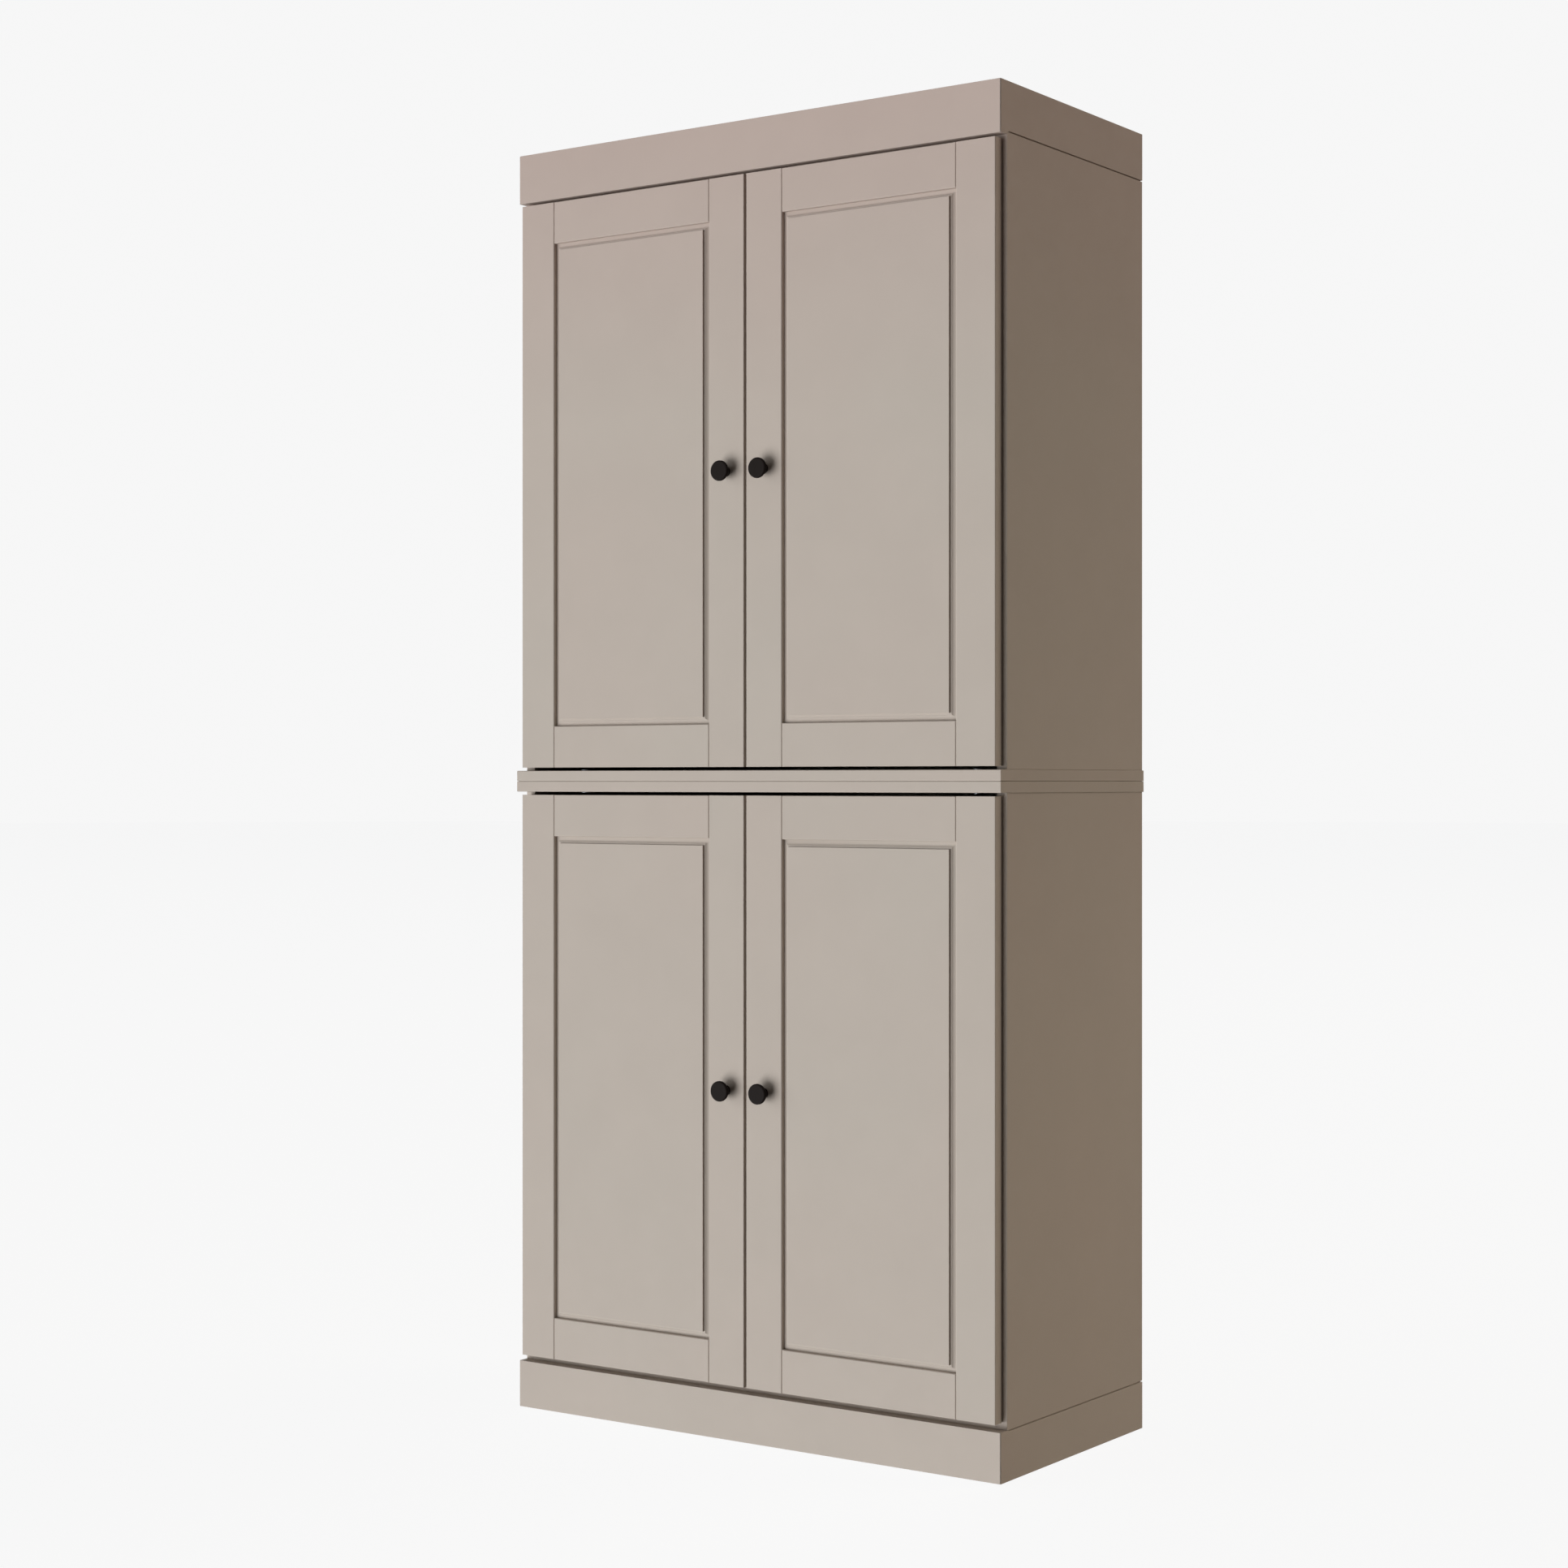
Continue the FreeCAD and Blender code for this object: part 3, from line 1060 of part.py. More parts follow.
def door(module, side_name, side):
    tag = f"{module}_{side_name}_door"
    bottom, top = f"{module}_door_bottom", f"{module}_door_top"
    outer_x = signed(side, "door_outer_x")
    free_x = signed(side, "door_inner_x")
    middle_x = signed(side, "door_middle_x")
    levels = HINGE_LEVELS[module]
    knob_x = signed(side, "door_inner_x + knob_in")
    knob_level = f"({bottom} + {top}) / 2"

    bores = []
    cups = []
    for number, level in enumerate(levels):
        bores.append(rod(tag + "_cup_bore", (signed(side, "cup_x"), "door_back_y", level),
                         "cup_radius + cup_play", "cup_depth + cup_play", "-y"))
        bores += [rod(tag + "_wing_screw_hole",
                      (signed(side, "door_outer_x - wing_screw_in"), "door_back_y",
                       f"{level} {sign} wing_screw_rise"),
                      "wood_screw_radius + wood_screw_play", "wood_screw_length", "-y")
                  for sign in "-+"]
        cups += hinge_cup(f"{tag}_cup_{number}", side, level)
    hinge_blank = stile(tag + "_hinge_stile", side, outer_x, -side, bottom, top)
    keep(tag + "_hinge_stile", cut(tag + "_hinge_stile_bored", hinge_blank, bores))

    lock_blank = stile(tag + "_lock_stile", side, free_x, side, bottom, top)
    knob_hole = rod(tag + "_knob_hole", (knob_x, "door_back_y", knob_level),
                    "knob_screw_radius + knob_hole_play", "door_thickness", "-y")
    keep(tag + "_lock_stile", cut(tag + "_lock_stile_bored", lock_blank, [knob_hole]))

    rail(tag + "_top_rail", middle_x, top, TOP_RAIL_TURN)
    rail(tag + "_bottom_rail", middle_x, bottom, BOTTOM_RAIL_TURN)
    raised_panel(tag + "_panel", middle_x, bottom, top)
    knob(tag + "_knob", knob_x, knob_level)
    keep(tag + "_hinge_cups", group(tag + "_hinge_cup_set", cups))


for module in MODULES:
    for side_name, side in SIDES:
        door(module, side_name, side)


# ---------------------------------------------------------------- check and write

doc.recompute()
for thing in doc.Objects:
    if "Invalid" in thing.State or "Error" in thing.State:
        raise RuntimeError(f"{thing.Name} failed: {thing.State}")
for name, thing in nodes.items():
    if thing.Shape.isNull() or not thing.Shape.isValid():
        raise RuntimeError(f"{name} has no valid shape")

os.makedirs("parts", exist_ok=True)
for name, thing in nodes.items():
    thing.Shape.exportStep(os.path.join("parts", name + ".step"))
print(len(nodes), "nodes,", sum(len(thing.Shape.Solids) for thing in nodes.values()), "solids")
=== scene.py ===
import json
import math

import bmesh
import bpy
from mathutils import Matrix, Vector

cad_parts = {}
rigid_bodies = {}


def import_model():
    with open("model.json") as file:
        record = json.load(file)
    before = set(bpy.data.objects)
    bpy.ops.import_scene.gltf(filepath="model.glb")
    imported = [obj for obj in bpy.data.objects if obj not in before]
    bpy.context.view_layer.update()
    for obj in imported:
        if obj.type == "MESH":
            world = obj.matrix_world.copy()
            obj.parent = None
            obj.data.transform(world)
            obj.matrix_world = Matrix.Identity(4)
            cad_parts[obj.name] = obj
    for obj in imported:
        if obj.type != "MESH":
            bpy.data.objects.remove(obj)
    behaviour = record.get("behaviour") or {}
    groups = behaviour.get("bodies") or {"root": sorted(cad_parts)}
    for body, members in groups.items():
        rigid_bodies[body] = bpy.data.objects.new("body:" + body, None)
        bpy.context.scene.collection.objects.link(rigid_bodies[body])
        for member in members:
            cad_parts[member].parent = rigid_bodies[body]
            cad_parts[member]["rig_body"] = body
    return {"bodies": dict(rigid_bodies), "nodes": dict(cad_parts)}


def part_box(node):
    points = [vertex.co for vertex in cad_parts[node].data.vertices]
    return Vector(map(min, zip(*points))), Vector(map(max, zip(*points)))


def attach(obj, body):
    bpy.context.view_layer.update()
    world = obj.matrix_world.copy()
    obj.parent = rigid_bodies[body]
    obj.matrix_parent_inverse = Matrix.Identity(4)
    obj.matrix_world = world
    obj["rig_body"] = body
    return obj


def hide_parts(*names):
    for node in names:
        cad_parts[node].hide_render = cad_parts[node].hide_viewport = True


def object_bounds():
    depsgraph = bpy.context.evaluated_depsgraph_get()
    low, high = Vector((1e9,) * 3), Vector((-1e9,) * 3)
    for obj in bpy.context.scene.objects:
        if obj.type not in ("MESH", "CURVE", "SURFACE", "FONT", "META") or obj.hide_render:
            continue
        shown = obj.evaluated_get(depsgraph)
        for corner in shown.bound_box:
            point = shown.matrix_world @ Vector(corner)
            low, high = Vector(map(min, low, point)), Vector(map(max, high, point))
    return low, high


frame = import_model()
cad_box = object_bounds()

# ------------------------------------------------------------------ plinth
# Four boards of painted fibreboard that carry the cabinet, the front one mitred to the two ends.
# They are sanded and sprayed with a satin greige, so every edge is slightly round. The paint is
# thinner there, and a painted highlight makes the edges lighter.

BOARD_EDGE = 0.0005
EDGE_STEPS = 2
EDGE_ROOM = 1.6
SHARP = math.radians(40)
FLAT = math.radians(1)
SAME_POINT = 1e-6
GREIGE = (0.447, 0.392, 0.338)
GREIGE_WARM = (0.452, 0.386, 0.333)
# painted light: a rosier, darker tint towards the top stands in for a pinkish light from above
GREIGE_TOP_LIGHT_TINT = (0.444, 0.348, 0.304)
# painted highlight: the lighter edge colour is partly thin paint and partly a highlight painted on
# the rounded edges
GREIGE_THIN_AND_HIGHLIT = (0.53, 0.47, 0.41)
TOP_LIGHT_TINT_FROM, TOP_LIGHT_TINT_UP_TO = 1.40, 1.85
PAINT_GLOSS = 0.12
PAINT_ROUGH = (0.5, 0.58)
MOTTLE = (0.988, 1.012)
THIN_AND_HIGHLIGHT_SHARE = 0.3
PATTERN_STEPS = 10
DRIFT_SCALE, MOTTLE_SCALE, SATIN_SCALE, PEEL_SCALE = 2.2, 11, 60, 520
PEEL_DEPTH = 0.00002


def finished(name, bm, material, node=None, body=None, steps=()):
    """Turns a bmesh into a piece with smooth shading that keeps its flat faces flat."""
    mesh = bpy.data.meshes.new(name)
    bm.to_mesh(mesh)
    bm.free()
    for step in steps:
        mesh = step(mesh)
    mesh.shade_smooth()
    rough = bpy.data.objects.new(name + "_rough", mesh)
    bpy.context.scene.collection.objects.link(rough)
    rough.modifiers.new("flat faces", "WEIGHTED_NORMAL").weight = 100
    result = rough.evaluated_get(bpy.context.evaluated_depsgraph_get())
    smooth = bpy.data.meshes.new_from_object(result)
    bpy.data.objects.remove(rough)
    smooth.materials.clear()
    smooth.materials.append(material)
    piece = bpy.data.objects.new(name, smooth)
    bpy.context.scene.collection.objects.link(piece)
    if node:
        body = frame["nodes"][node]["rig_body"]
        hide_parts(node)
    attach(piece, body)
    return piece


def clean_copy(node):
    """The piece as it was constructed, as one closed mesh with whole flat faces."""
    bm = bmesh.new()
    bm.from_mesh(frame["nodes"][node].data)
    bmesh.ops.remove_doubles(bm, verts=bm.verts, dist=SAME_POINT)
    bmesh.ops.dissolve_limit(bm, angle_limit=FLAT, verts=bm.verts, edges=bm.edges)
    return bm


def roomy(edge, radius):
    """True where the edges that meet this one leave room to round it."""
    near = [other for vertex in edge.verts for other in vertex.link_edges]
    return min(other.calc_length() for other in near) > EDGE_ROOM * radius


def round_over(bm, radius, steps=EDGE_STEPS):
    """Rounds the sharp outer edges and marks the new faces for thin paint and a painted highlight.
    """
    edge_wear_and_highlight = bm.faces.layers.float.new("edge_wear_and_highlight")
    sharp = [edge for edge in bm.edges
             if edge.is_manifold and edge.is_convex and edge.calc_face_angle() > SHARP
             and roomy(edge, radius)]
    rounded = bmesh.ops.bevel(bm, geom=sharp, offset=radius, segments=steps, profile=0.5,
                              affect="EDGES", clamp_overlap=False)
    for face in rounded["faces"]:
        face[edge_wear_and_highlight] = 1


def eased(node, material, radius=BOARD_EDGE, steps=EDGE_STEPS):
    """A piece as it was constructed, with its sharp edges rounded over. Each starts the patterns
    of its material at another place."""
    bm = clean_copy(node)
    board = bm.verts.layers.float.new("board")
    round_over(bm, radius, steps)
    start = sum(node.encode()) / PATTERN_STEPS
    for vertex in bm.verts:
        vertex[board] = start
    return finished(node + "_piece", bm, material, node=node)


class Shader:
    """A material's nodes, added one after another."""

    def __init__(self, name, **sockets):
        self.material = bpy.data.materials.new(name)
        self.material.use_nodes = True
        self.nodes = self.material.node_tree.nodes
        self.links = self.material.node_tree.links
        self.surface = self.nodes["Principled BSDF"]
        self.set(self.surface, **sockets)
        self.place = self.nodes.new("ShaderNodeTexCoord").outputs["Object"]

    def set(self, node, **sockets):
        for label, value in sockets.items():
            socket = node.inputs[label.replace("_", " ")]
            if isinstance(value, bpy.types.NodeSocket):
                self.links.new(value, socket)
            else:
                socket.default_value = value

    def add(self, kind, result=0, settings=None, **sockets):
        node = self.nodes.new("ShaderNode" + kind)
        for label, value in (settings or {}).items():
            setattr(node, label, value)
        self.set(node, **sockets)
        return node.outputs[result]

    def attribute(self, name):
        return self.add("Attribute", "Fac", {"attribute_name": name})

    def noise(self, scale, detail=2, place=None, w=0.0):
        return self.add("TexNoise", "Fac", {"noise_dimensions": "4D"}, W=w, Scale=scale,
                        Detail=detail, Vector=place or self.place)

    def stretched(self, x, y, z):
        return self.add("Mapping", Vector=self.place, Scale=(x, y, z))

    def height(self):
        return self.add("SeparateXYZ", "Z", Vector=self.place)

    def between(self, value, low, high, from_low=0.35, from_high=0.65):
        return self.add("MapRange", **{"Value": value, "From Min": from_low, "From Max": from_high,
                                       "To Min": low, "To Max": high})

    def mix(self, share, first, second, blend="MIX"):
        node = self.nodes.new("ShaderNodeMix")
        node.data_type = "RGBA"
        node.blend_type = blend
        for index, value in ((0, share), (6, first), (7, second)):
            if isinstance(value, tuple):
                value = value + (1,)
            if isinstance(value, bpy.types.NodeSocket):
                self.links.new(value, node.inputs[index])
            else:
                node.inputs[index].default_value = value
        return node.outputs[2]

    def dimmed(self, colour, amount):
        """The colour times a number that a texture gives."""
        grey = self.add("CombineColor", Red=amount, Green=amount, Blue=amount)
        return self.mix(1.0, colour, grey, "MULTIPLY")

    def relief(self, height, distance):
        self.set(self.surface, Normal=self.add("Bump", Height=height, Distance=distance))


def painted(name):
    """Satin paint, sprayed on: a fine orange peel, a faint drift of tone from one patch to the
    next, painted light that turns it rosier and darker high up, and thinner paint along the edges
    with a painted highlight there."""
    paint = Shader(name, IOR=1.45, **{"Specular IOR Level": PAINT_GLOSS})
    board = paint.attribute("board")
    drift = paint.between(paint.noise(DRIFT_SCALE, 2, w=board), 0, 1)
    colour = paint.mix(drift, GREIGE, GREIGE_WARM)
    # painted light: from this height up the paint turns rosier and darker, standing in for pinkish
    # light from above
    high = paint.between(paint.height(), 0, 1, TOP_LIGHT_TINT_FROM, TOP_LIGHT_TINT_UP_TO)
    colour = paint.mix(high, colour, GREIGE_TOP_LIGHT_TINT)
    colour = paint.dimmed(colour, paint.between(paint.noise(MOTTLE_SCALE, 3, w=board), *MOTTLE))
    # painted highlight: the rounded edges get a lighter colour, for thin paint and for the light
    # they catch
    thin_and_highlit = paint.between(paint.attribute("edge_wear_and_highlight"), 0, THIN_AND_HIGHLIGHT_SHARE, 0, 1)
    colour = paint.mix(thin_and_highlit, colour, GREIGE_THIN_AND_HIGHLIT)
    paint.set(paint.surface, **{"Base Color": colour})
    satin = paint.between(paint.noise(SATIN_SCALE, 3, w=board), *PAINT_ROUGH)
    paint.set(paint.surface, Roughness=satin)
    paint.relief(paint.noise(PEEL_SCALE, 2, w=board), PEEL_DEPTH)
    return paint.material


greige_paint = painted("greige satin paint")
for side in ("front", "left", "right", "rear"):
    eased(f"plinth_{side}", greige_paint)

# ------------------------------------------------------------------ cases of both modules
# Each module is a case of fibreboard in the same paint: two side panels with two rows of shelf
# holes, and a board between them, at the bottom of the lower case and the top of the upper one.

for case in ("lower", "upper"):
    for side in ("left", "right"):
        eased(f"{case}_{side}_side", greige_paint)
eased("lower_bottom_board", greige_paint)
eased("upper_top_board", greige_paint)

# ------------------------------------------------------------------ dowels
# Turned beech pins that line up each joint of the cases. They are glued in on one side and
# stay out of sight, so they are bare wood with its grain along them.

BEECH_LIGHT = (0.56, 0.38, 0.21)
BEECH_DARK = (0.44, 0.28, 0.14)
GRAIN_SCALE, RAYS_SCALE = 160, 900
RAYS = (0.9, 1.06)
GRAIN_DEPTH = 0.00004
SMALL_EDGE = 0.0004

beech = Shader("bare beech", Roughness=0.7)
grain = beech.noise(GRAIN_SCALE, 5, beech.stretched(1, 1, 0.06))
rays = beech.between(beech.noise(RAYS_SCALE, 2, beech.stretched(1, 1, 0.2)), *RAYS)
wood = beech.mix(beech.between(grain, 0, 1), BEECH_LIGHT, BEECH_DARK)
beech.set(beech.surface, **{"Base Color": beech.dimmed(wood, rays)})
beech.relief(grain, GRAIN_DEPTH)
eased("dowels", beech.material, SMALL_EDGE)

# ------------------------------------------------------------------ cam fittings
# Zinc-plated cams with a cross slot, turned a quarter to pull in the bolt from the next board.
# The cams sit in bores in the side panels and in the hidden faces of the two end boards.

ZINC = (0.50, 0.51, 0.53)
ZINC_ROUGH = 0.38
BRUSH_SCALE, CLOUD_SCALE = 900, 120
BRUSH_DEPTH = 0.00001
BRIGHT_SPOTS = 1.07
FINE_EDGE = 0.0003
CAM_WIDER_THAN = 0.014
CAM_SLOT = (0.0080, 0.0014, 0.0022)
QUARTER_TURN = math.pi / 2
HALF_SUNK = 2.0


def plated(name, colour, roughness):
    """Plated steel with a faint brushed grain and cloudy spots in the plating."""
    steel = Shader(name, Metallic=1.0)
    brushed = steel.noise(BRUSH_SCALE, 3, steel.stretched(1, 1, 14))
    clouds = steel.between(steel.noise(CLOUD_SCALE, 3), 0, 1)
    bright = tuple(part * BRIGHT_SPOTS for part in colour)
    steel.set(steel.surface, **{"Base Color": steel.mix(clouds, colour, bright)})
    worn = steel.between(brushed, roughness - 0.06, roughness + 0.08)
    steel.set(steel.surface, Roughness=worn)
    steel.relief(brushed, BRUSH_DEPTH)
    return steel.material


def cross_slots():
    """Geometry Nodes that sink a cross slot into each head: the mesh's loose points say where,
    and their direction says which way the head looks."""
    tree = bpy.data.node_groups.new("cross slots", "GeometryNodeTree")
    inputs = {}
    for label, kind in (("Geometry", "Geometry"), ("Slot Length", "Float"),
                        ("Slot Width", "Float"), ("Slot Depth", "Float"), ("Turn Seed", "Int"),
                        ("Material", "Material")):
        socket = tree.interface.new_socket(name=label, in_out="INPUT",
                                           socket_type="NodeSocket" + kind)
        inputs[label] = socket.identifier
    tree.interface.new_socket(name="Geometry", in_out="OUTPUT", socket_type="NodeSocketGeometry")

    def add(kind, settings=None, **sockets):
        node = tree.nodes.new(kind)
        for label, value in (settings or {}).items():
            setattr(node, label, value)
        for label, value in sockets.items():
            socket = node.inputs[label.replace("_", " ")]
            if isinstance(value, bpy.types.NodeSocket):
                tree.links.new(value, socket)
            else:
                socket.default_value = value
        return node

    given = add("NodeGroupInput").outputs
    spot = add("GeometryNodeInputNamedAttribute", {"data_type": "FLOAT"}, Name="spot")
    looks = add("GeometryNodeInputNamedAttribute", {"data_type": "FLOAT_VECTOR"}, Name="looks")
    parted = add("GeometryNodeSeparateGeometry", {"domain": "POINT"}, Geometry=given["Geometry"],
                 Selection=spot.outputs["Attribute"])
    upright = add("FunctionNodeAlignRotationToVector", {"axis": "Z"},
                  Vector=looks.outputs["Attribute"])
    turn = add("FunctionNodeRandomValue", {"data_type": "FLOAT"}, Seed=given["Turn Seed"])
    turn.inputs[2].default_value = 0.0
    turn.inputs[3].default_value = QUARTER_TURN
    quarter = add("FunctionNodeAxisAngleToRotation", Axis=(0, 0, 1), Angle=turn.outputs[1])
    turned = add("FunctionNodeRotateRotation", {"rotation_space": "LOCAL"},
                 Rotation=upright.outputs[0], Rotate_By=quarter.outputs[0])
    deep = add("ShaderNodeMath", {"operation": "MULTIPLY"})
    tree.links.new(given["Slot Depth"], deep.inputs[0])
    deep.inputs[1].default_value = HALF_SUNK
    cut = add("GeometryNodeMeshBoolean", {"operation": "DIFFERENCE", "solver": "EXACT"})
    tree.links.new(parted.outputs["Inverted"], cut.inputs[0])
    for first, second in (("Slot Length", "Slot Width"), ("Slot Width", "Slot Length")):
        size = add("ShaderNodeCombineXYZ", X=given[first], Y=given[second], Z=deep.outputs[0])
        bar = add("GeometryNodeMeshCube", Size=size.outputs[0])
        bars = add("GeometryNodeInstanceOnPoints", Points=parted.outputs["Selection"],
                   Instance=bar.outputs["Mesh"], Rotation=turned.outputs[0])
        solid = add("GeometryNodeRealizeInstances", Geometry=bars.outputs[0])
        tree.links.new(solid.outputs[0], cut.inputs[1])
    whole = add("GeometryNodeRealizeInstances", Geometry=cut.outputs["Mesh"])
    coated = add("GeometryNodeSetMaterial", Geometry=whole.outputs[0],
                 Material=given["Material"])
    add("NodeGroupOutput", Geometry=coated.outputs[0])
    return tree, inputs


def loose_parts(bm):
    """The separate solids of a mesh, in the mesh's order, each as its vertices with its lowest
    and highest corner."""
    seen = set()
    parts = []
    for start in bm.verts:
        if start in seen:
            continue
        seen.add(start)
        found = [start]
        for vertex in found:
            for edge in vertex.link_edges:
                other = edge.other_vert(vertex)
                if other not in seen:
                    seen.add(other)
                    found.append(other)
        low = Vector(min(vertex.co[axis] for vertex in found) for axis in range(3))
        high = Vector(max(vertex.co[axis] for vertex in found) for axis in range(3))
        parts.append((found, low, high))
    return parts


def head(low, high, axis, way):
    """The middle of a solid's end on one axis, and the direction in which it looks."""
    place = (low + high) / 2
    place[axis] = high[axis] if way > 0 else low[axis]
    looks = Vector((0, 0, 0))
    looks[axis] = way
    return place, looks


def inwards(low, high):
    """The way along X from a solid to the cabinet's middle."""
    return -math.copysign(1, low.x + high.x)


def mark(bm, spots):
    """Adds a loose point with a direction for each cross slot."""
    spot = bm.verts.layers.float.new("spot")
    looks = bm.verts.layers.float_vector.new("looks")
    for place, direction in spots:
        vertex = bm.verts.new(place)
        vertex[spot] = 1
        vertex[looks] = direction


def slotted(name, bm, material, slot_size, node=None, body=None, seed=3):
    """Finishes a piece after its marked heads have got their cross slots."""
    tree, inputs = cross_slots()

    def sink(mesh):
        holder = bpy.data.objects.new(name + "_plain", mesh)
        bpy.context.scene.collection.objects.link(holder)
        slots = holder.modifiers.new("slots", "NODES")
        slots.node_group = tree
        for label, value in zip(("Slot Length", "Slot Width", "Slot Depth"), slot_size):
            slots[inputs[label]] = value
        slots[inputs["Turn Seed"]] = seed
        slots[inputs["Material"]] = material
        result = holder.evaluated_get(bpy.context.evaluated_depsgraph_get())
        sunk = bpy.data.meshes.new_from_object(result)
        bpy.data.objects.remove(holder)
        return sunk

    return finished(name, bm, material, node, body, steps=(sink,))


zinc = plated("zinc-plated steel", ZINC, ZINC_ROUGH)
cams = clean_copy("cam_fittings")
board_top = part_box("lower_bottom_board")[1][2]
slots = []
for _, low, high in loose_parts(cams):
    size = high - low
    if sorted(size)[1] < CAM_WIDER_THAN:
        continue
    if size.x == min(size):
        slots.append(head(low, high, 0, inwards(low, high)))
    else:
        slots.append(head(low, high, 2, -1 if (low.z + high.z) / 2 < board_top else 1))
round_over(cams, FINE_EDGE)
mark(cams, slots)
slotted("cam_fittings_piece", cams, zinc, CAM_SLOT, node="cam_fittings")

# ------------------------------------------------------------------ back panels
# Thin hardboard with a greige foil, slid into grooves in the cases. The foil is printed and
# lets the board's fibres show a little.

FOIL_DARK = (0.40, 0.345, 0.295)
FOIL_LIGHT = (0.43, 0.375, 0.32)
FOIL_ROUGH = (0.5, 0.64)
FIBRE_SCALE, PIT_SCALE = 90, 420
PIT_DEPTH = 0.00005

foil = Shader("greige foil on hardboard", IOR=1.45)
sheet = foil.attribute("board")
fibres = foil.noise(FIBRE_SCALE, 6, foil.stretched(1, 1, 0.35), w=sheet)
foil_colour = foil.mix(foil.between(fibres, 0, 1, 0.3, 0.7), FOIL_DARK, FOIL_LIGHT)
foil.set(foil.surface, **{"Base Color": foil_colour})
foil.set(foil.surface, Roughness=foil.between(fibres, *FOIL_ROUGH))
foil.relief(foil.noise(PIT_SCALE, 4, w=sheet), PIT_DEPTH)
for case in ("lower", "upper"):
    eased(f"{case}_back_panel", foil.material, FINE_EDGE)

# ------------------------------------------------------------------ middle boards
# The top of the lower case and the bottom of the upper one. They run past the cases all round,
# with bevelled front edges, and show as one band with a fine seam.

eased("lower_top_board", greige_paint)
eased("upper_bottom_board", greige_paint)

# ------------------------------------------------------------------ module bolts
# Four bolts in sleeve nuts clamp the two cases together through the middle boards. Their flat
# heads have a cross slot and show inside the cases.

BOLT_SLOT = (0.0070, 0.0012, 0.0012)

bolts = clean_copy("module_bolts")
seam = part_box("upper_bottom_board")[0][2]
slots = []
for _, low, high in loose_parts(bolts):
    above = high.z - seam > seam - low.z
    slots.append(head(low, high, 2, 1 if above else -1))
round_over(bolts, SMALL_EDGE)
mark(bolts, slots)
slotted("module_bolts_piece", bolts, zinc, BOLT_SLOT, node="module_bolts")

# ------------------------------------------------------------------ crown
# Four painted boards like the plinth's, doweled onto the upper case, and a lid that lies inside
# them, level with their top edges.

for side in ("front", "left", "right", "rear"):
    eased(f"crown_{side}", greige_paint)
eased("crown_top", greige_paint)

# ------------------------------------------------------------------ wall brackets
# Two folded steel angles under the upper case's top board. A wall screw through each, and
# through the back panel, keeps the cabinet from tipping.

FOLDED_EDGE = 0.0002

eased("wall_brackets", zinc, FOLDED_EDGE)

# ------------------------------------------------------------------ shelves and pins
# Loose painted boards, each on four turned steel pins with a collar that stops them at the
# side panel.

for case in ("lower", "upper"):
    for level in ("low", "high"):
        eased(f"{case}_{level}_shelf", greige_paint)
eased("shelf_pins", zinc, FINE_EDGE)

# ------------------------------------------------------------------ hinge arms and plates
# Nickel-plated pressed steel: a cross-shaped plate screwed to the side panel, and a folded arm
# that hooks into the cup in the door.

NICKEL = (0.60, 0.585, 0.56)
NICKEL_ROUGH = 0.28

nickel = plated("nickel-plated steel", NICKEL, NICKEL_ROUGH)
eased("hinge_plates", nickel, SMALL_EDGE)
eased("hinge_arms", nickel, SMALL_EDGE)

# ------------------------------------------------------------------ mounting screws
# Pan-head screws with a cross slot. They hold the hinge plates and the wall brackets in the
# wood, and the hinge arms on their plates.

SCREW_SLOT = (0.0042, 0.0009, 0.0011)
SCREW_EDGE = 0.0007
SOFT_STEPS = 4

screws = clean_copy("mounting_screws")
slots = []
for _, low, high in loose_parts(screws):
    size = high - low
    if size.x == max(size):
        slots.append(head(low, high, 0, inwards(low, high)))
    else:
        slots.append(head(low, high, 2, -1))
round_over(screws, SCREW_EDGE, SOFT_STEPS)
mark(screws, slots)
slotted("mounting_screws_piece", screws, zinc, SCREW_SLOT, node="mounting_screws", seed=11)

# ------------------------------------------------------------------ door frames and panels
# Two stiles and two rails of painted fibreboard round a raised panel, which floats in their
# grooves. The frame's inner edges are bevelled, so its joints show as fine V-shaped lines.

DOORS = [body for body in frame["bodies"] if body.endswith("_door")]
for door in DOORS:
    for part in ("hinge_stile", "lock_stile", "top_rail", "bottom_rail", "panel"):
        eased(f"{door}_{part}", greige_paint, FINE_EDGE)

# ------------------------------------------------------------------ hinge cups
# Drawn nickel-plated cups with two wings, pressed into bores in the stile and held by a screw
# through each wing. The pin across each cup carries the arm.

WING_SCREW_WITHIN = 0.0075

for door in DOORS:
    node = f"{door}_hinge_cups"
    cups = clean_copy(node)
    slots = []
    for _, low, high in loose_parts(cups):
        size = high - low
        if size.z < min(size.y, WING_SCREW_WITHIN):
            slots.append(head(low, high, 1, 1))
    round_over(cups, FINE_EDGE)
    mark(cups, slots)
    slotted(node + "_piece", cups, nickel, SCREW_SLOT, node=node, seed=5)

# ------------------------------------------------------------------ knobs
# Turned metal knobs with a matte black coat: a flat face, a short straight rim and a cone down
# to the foot. A screw from the back of the stile holds each.

COAT_DARK = (0.0062, 0.0038, 0.0030)
COAT_LIGHT = (0.0094, 0.0062, 0.0050)
COAT_GLOSS = 0.05
COAT_ROUGH = (0.5, 0.6)
SPECKLE_SCALE = 1400
SPECKLE_DEPTH = 0.00002
KNOB_PROJECTION = 0.018
KNOB_ROUND = 64
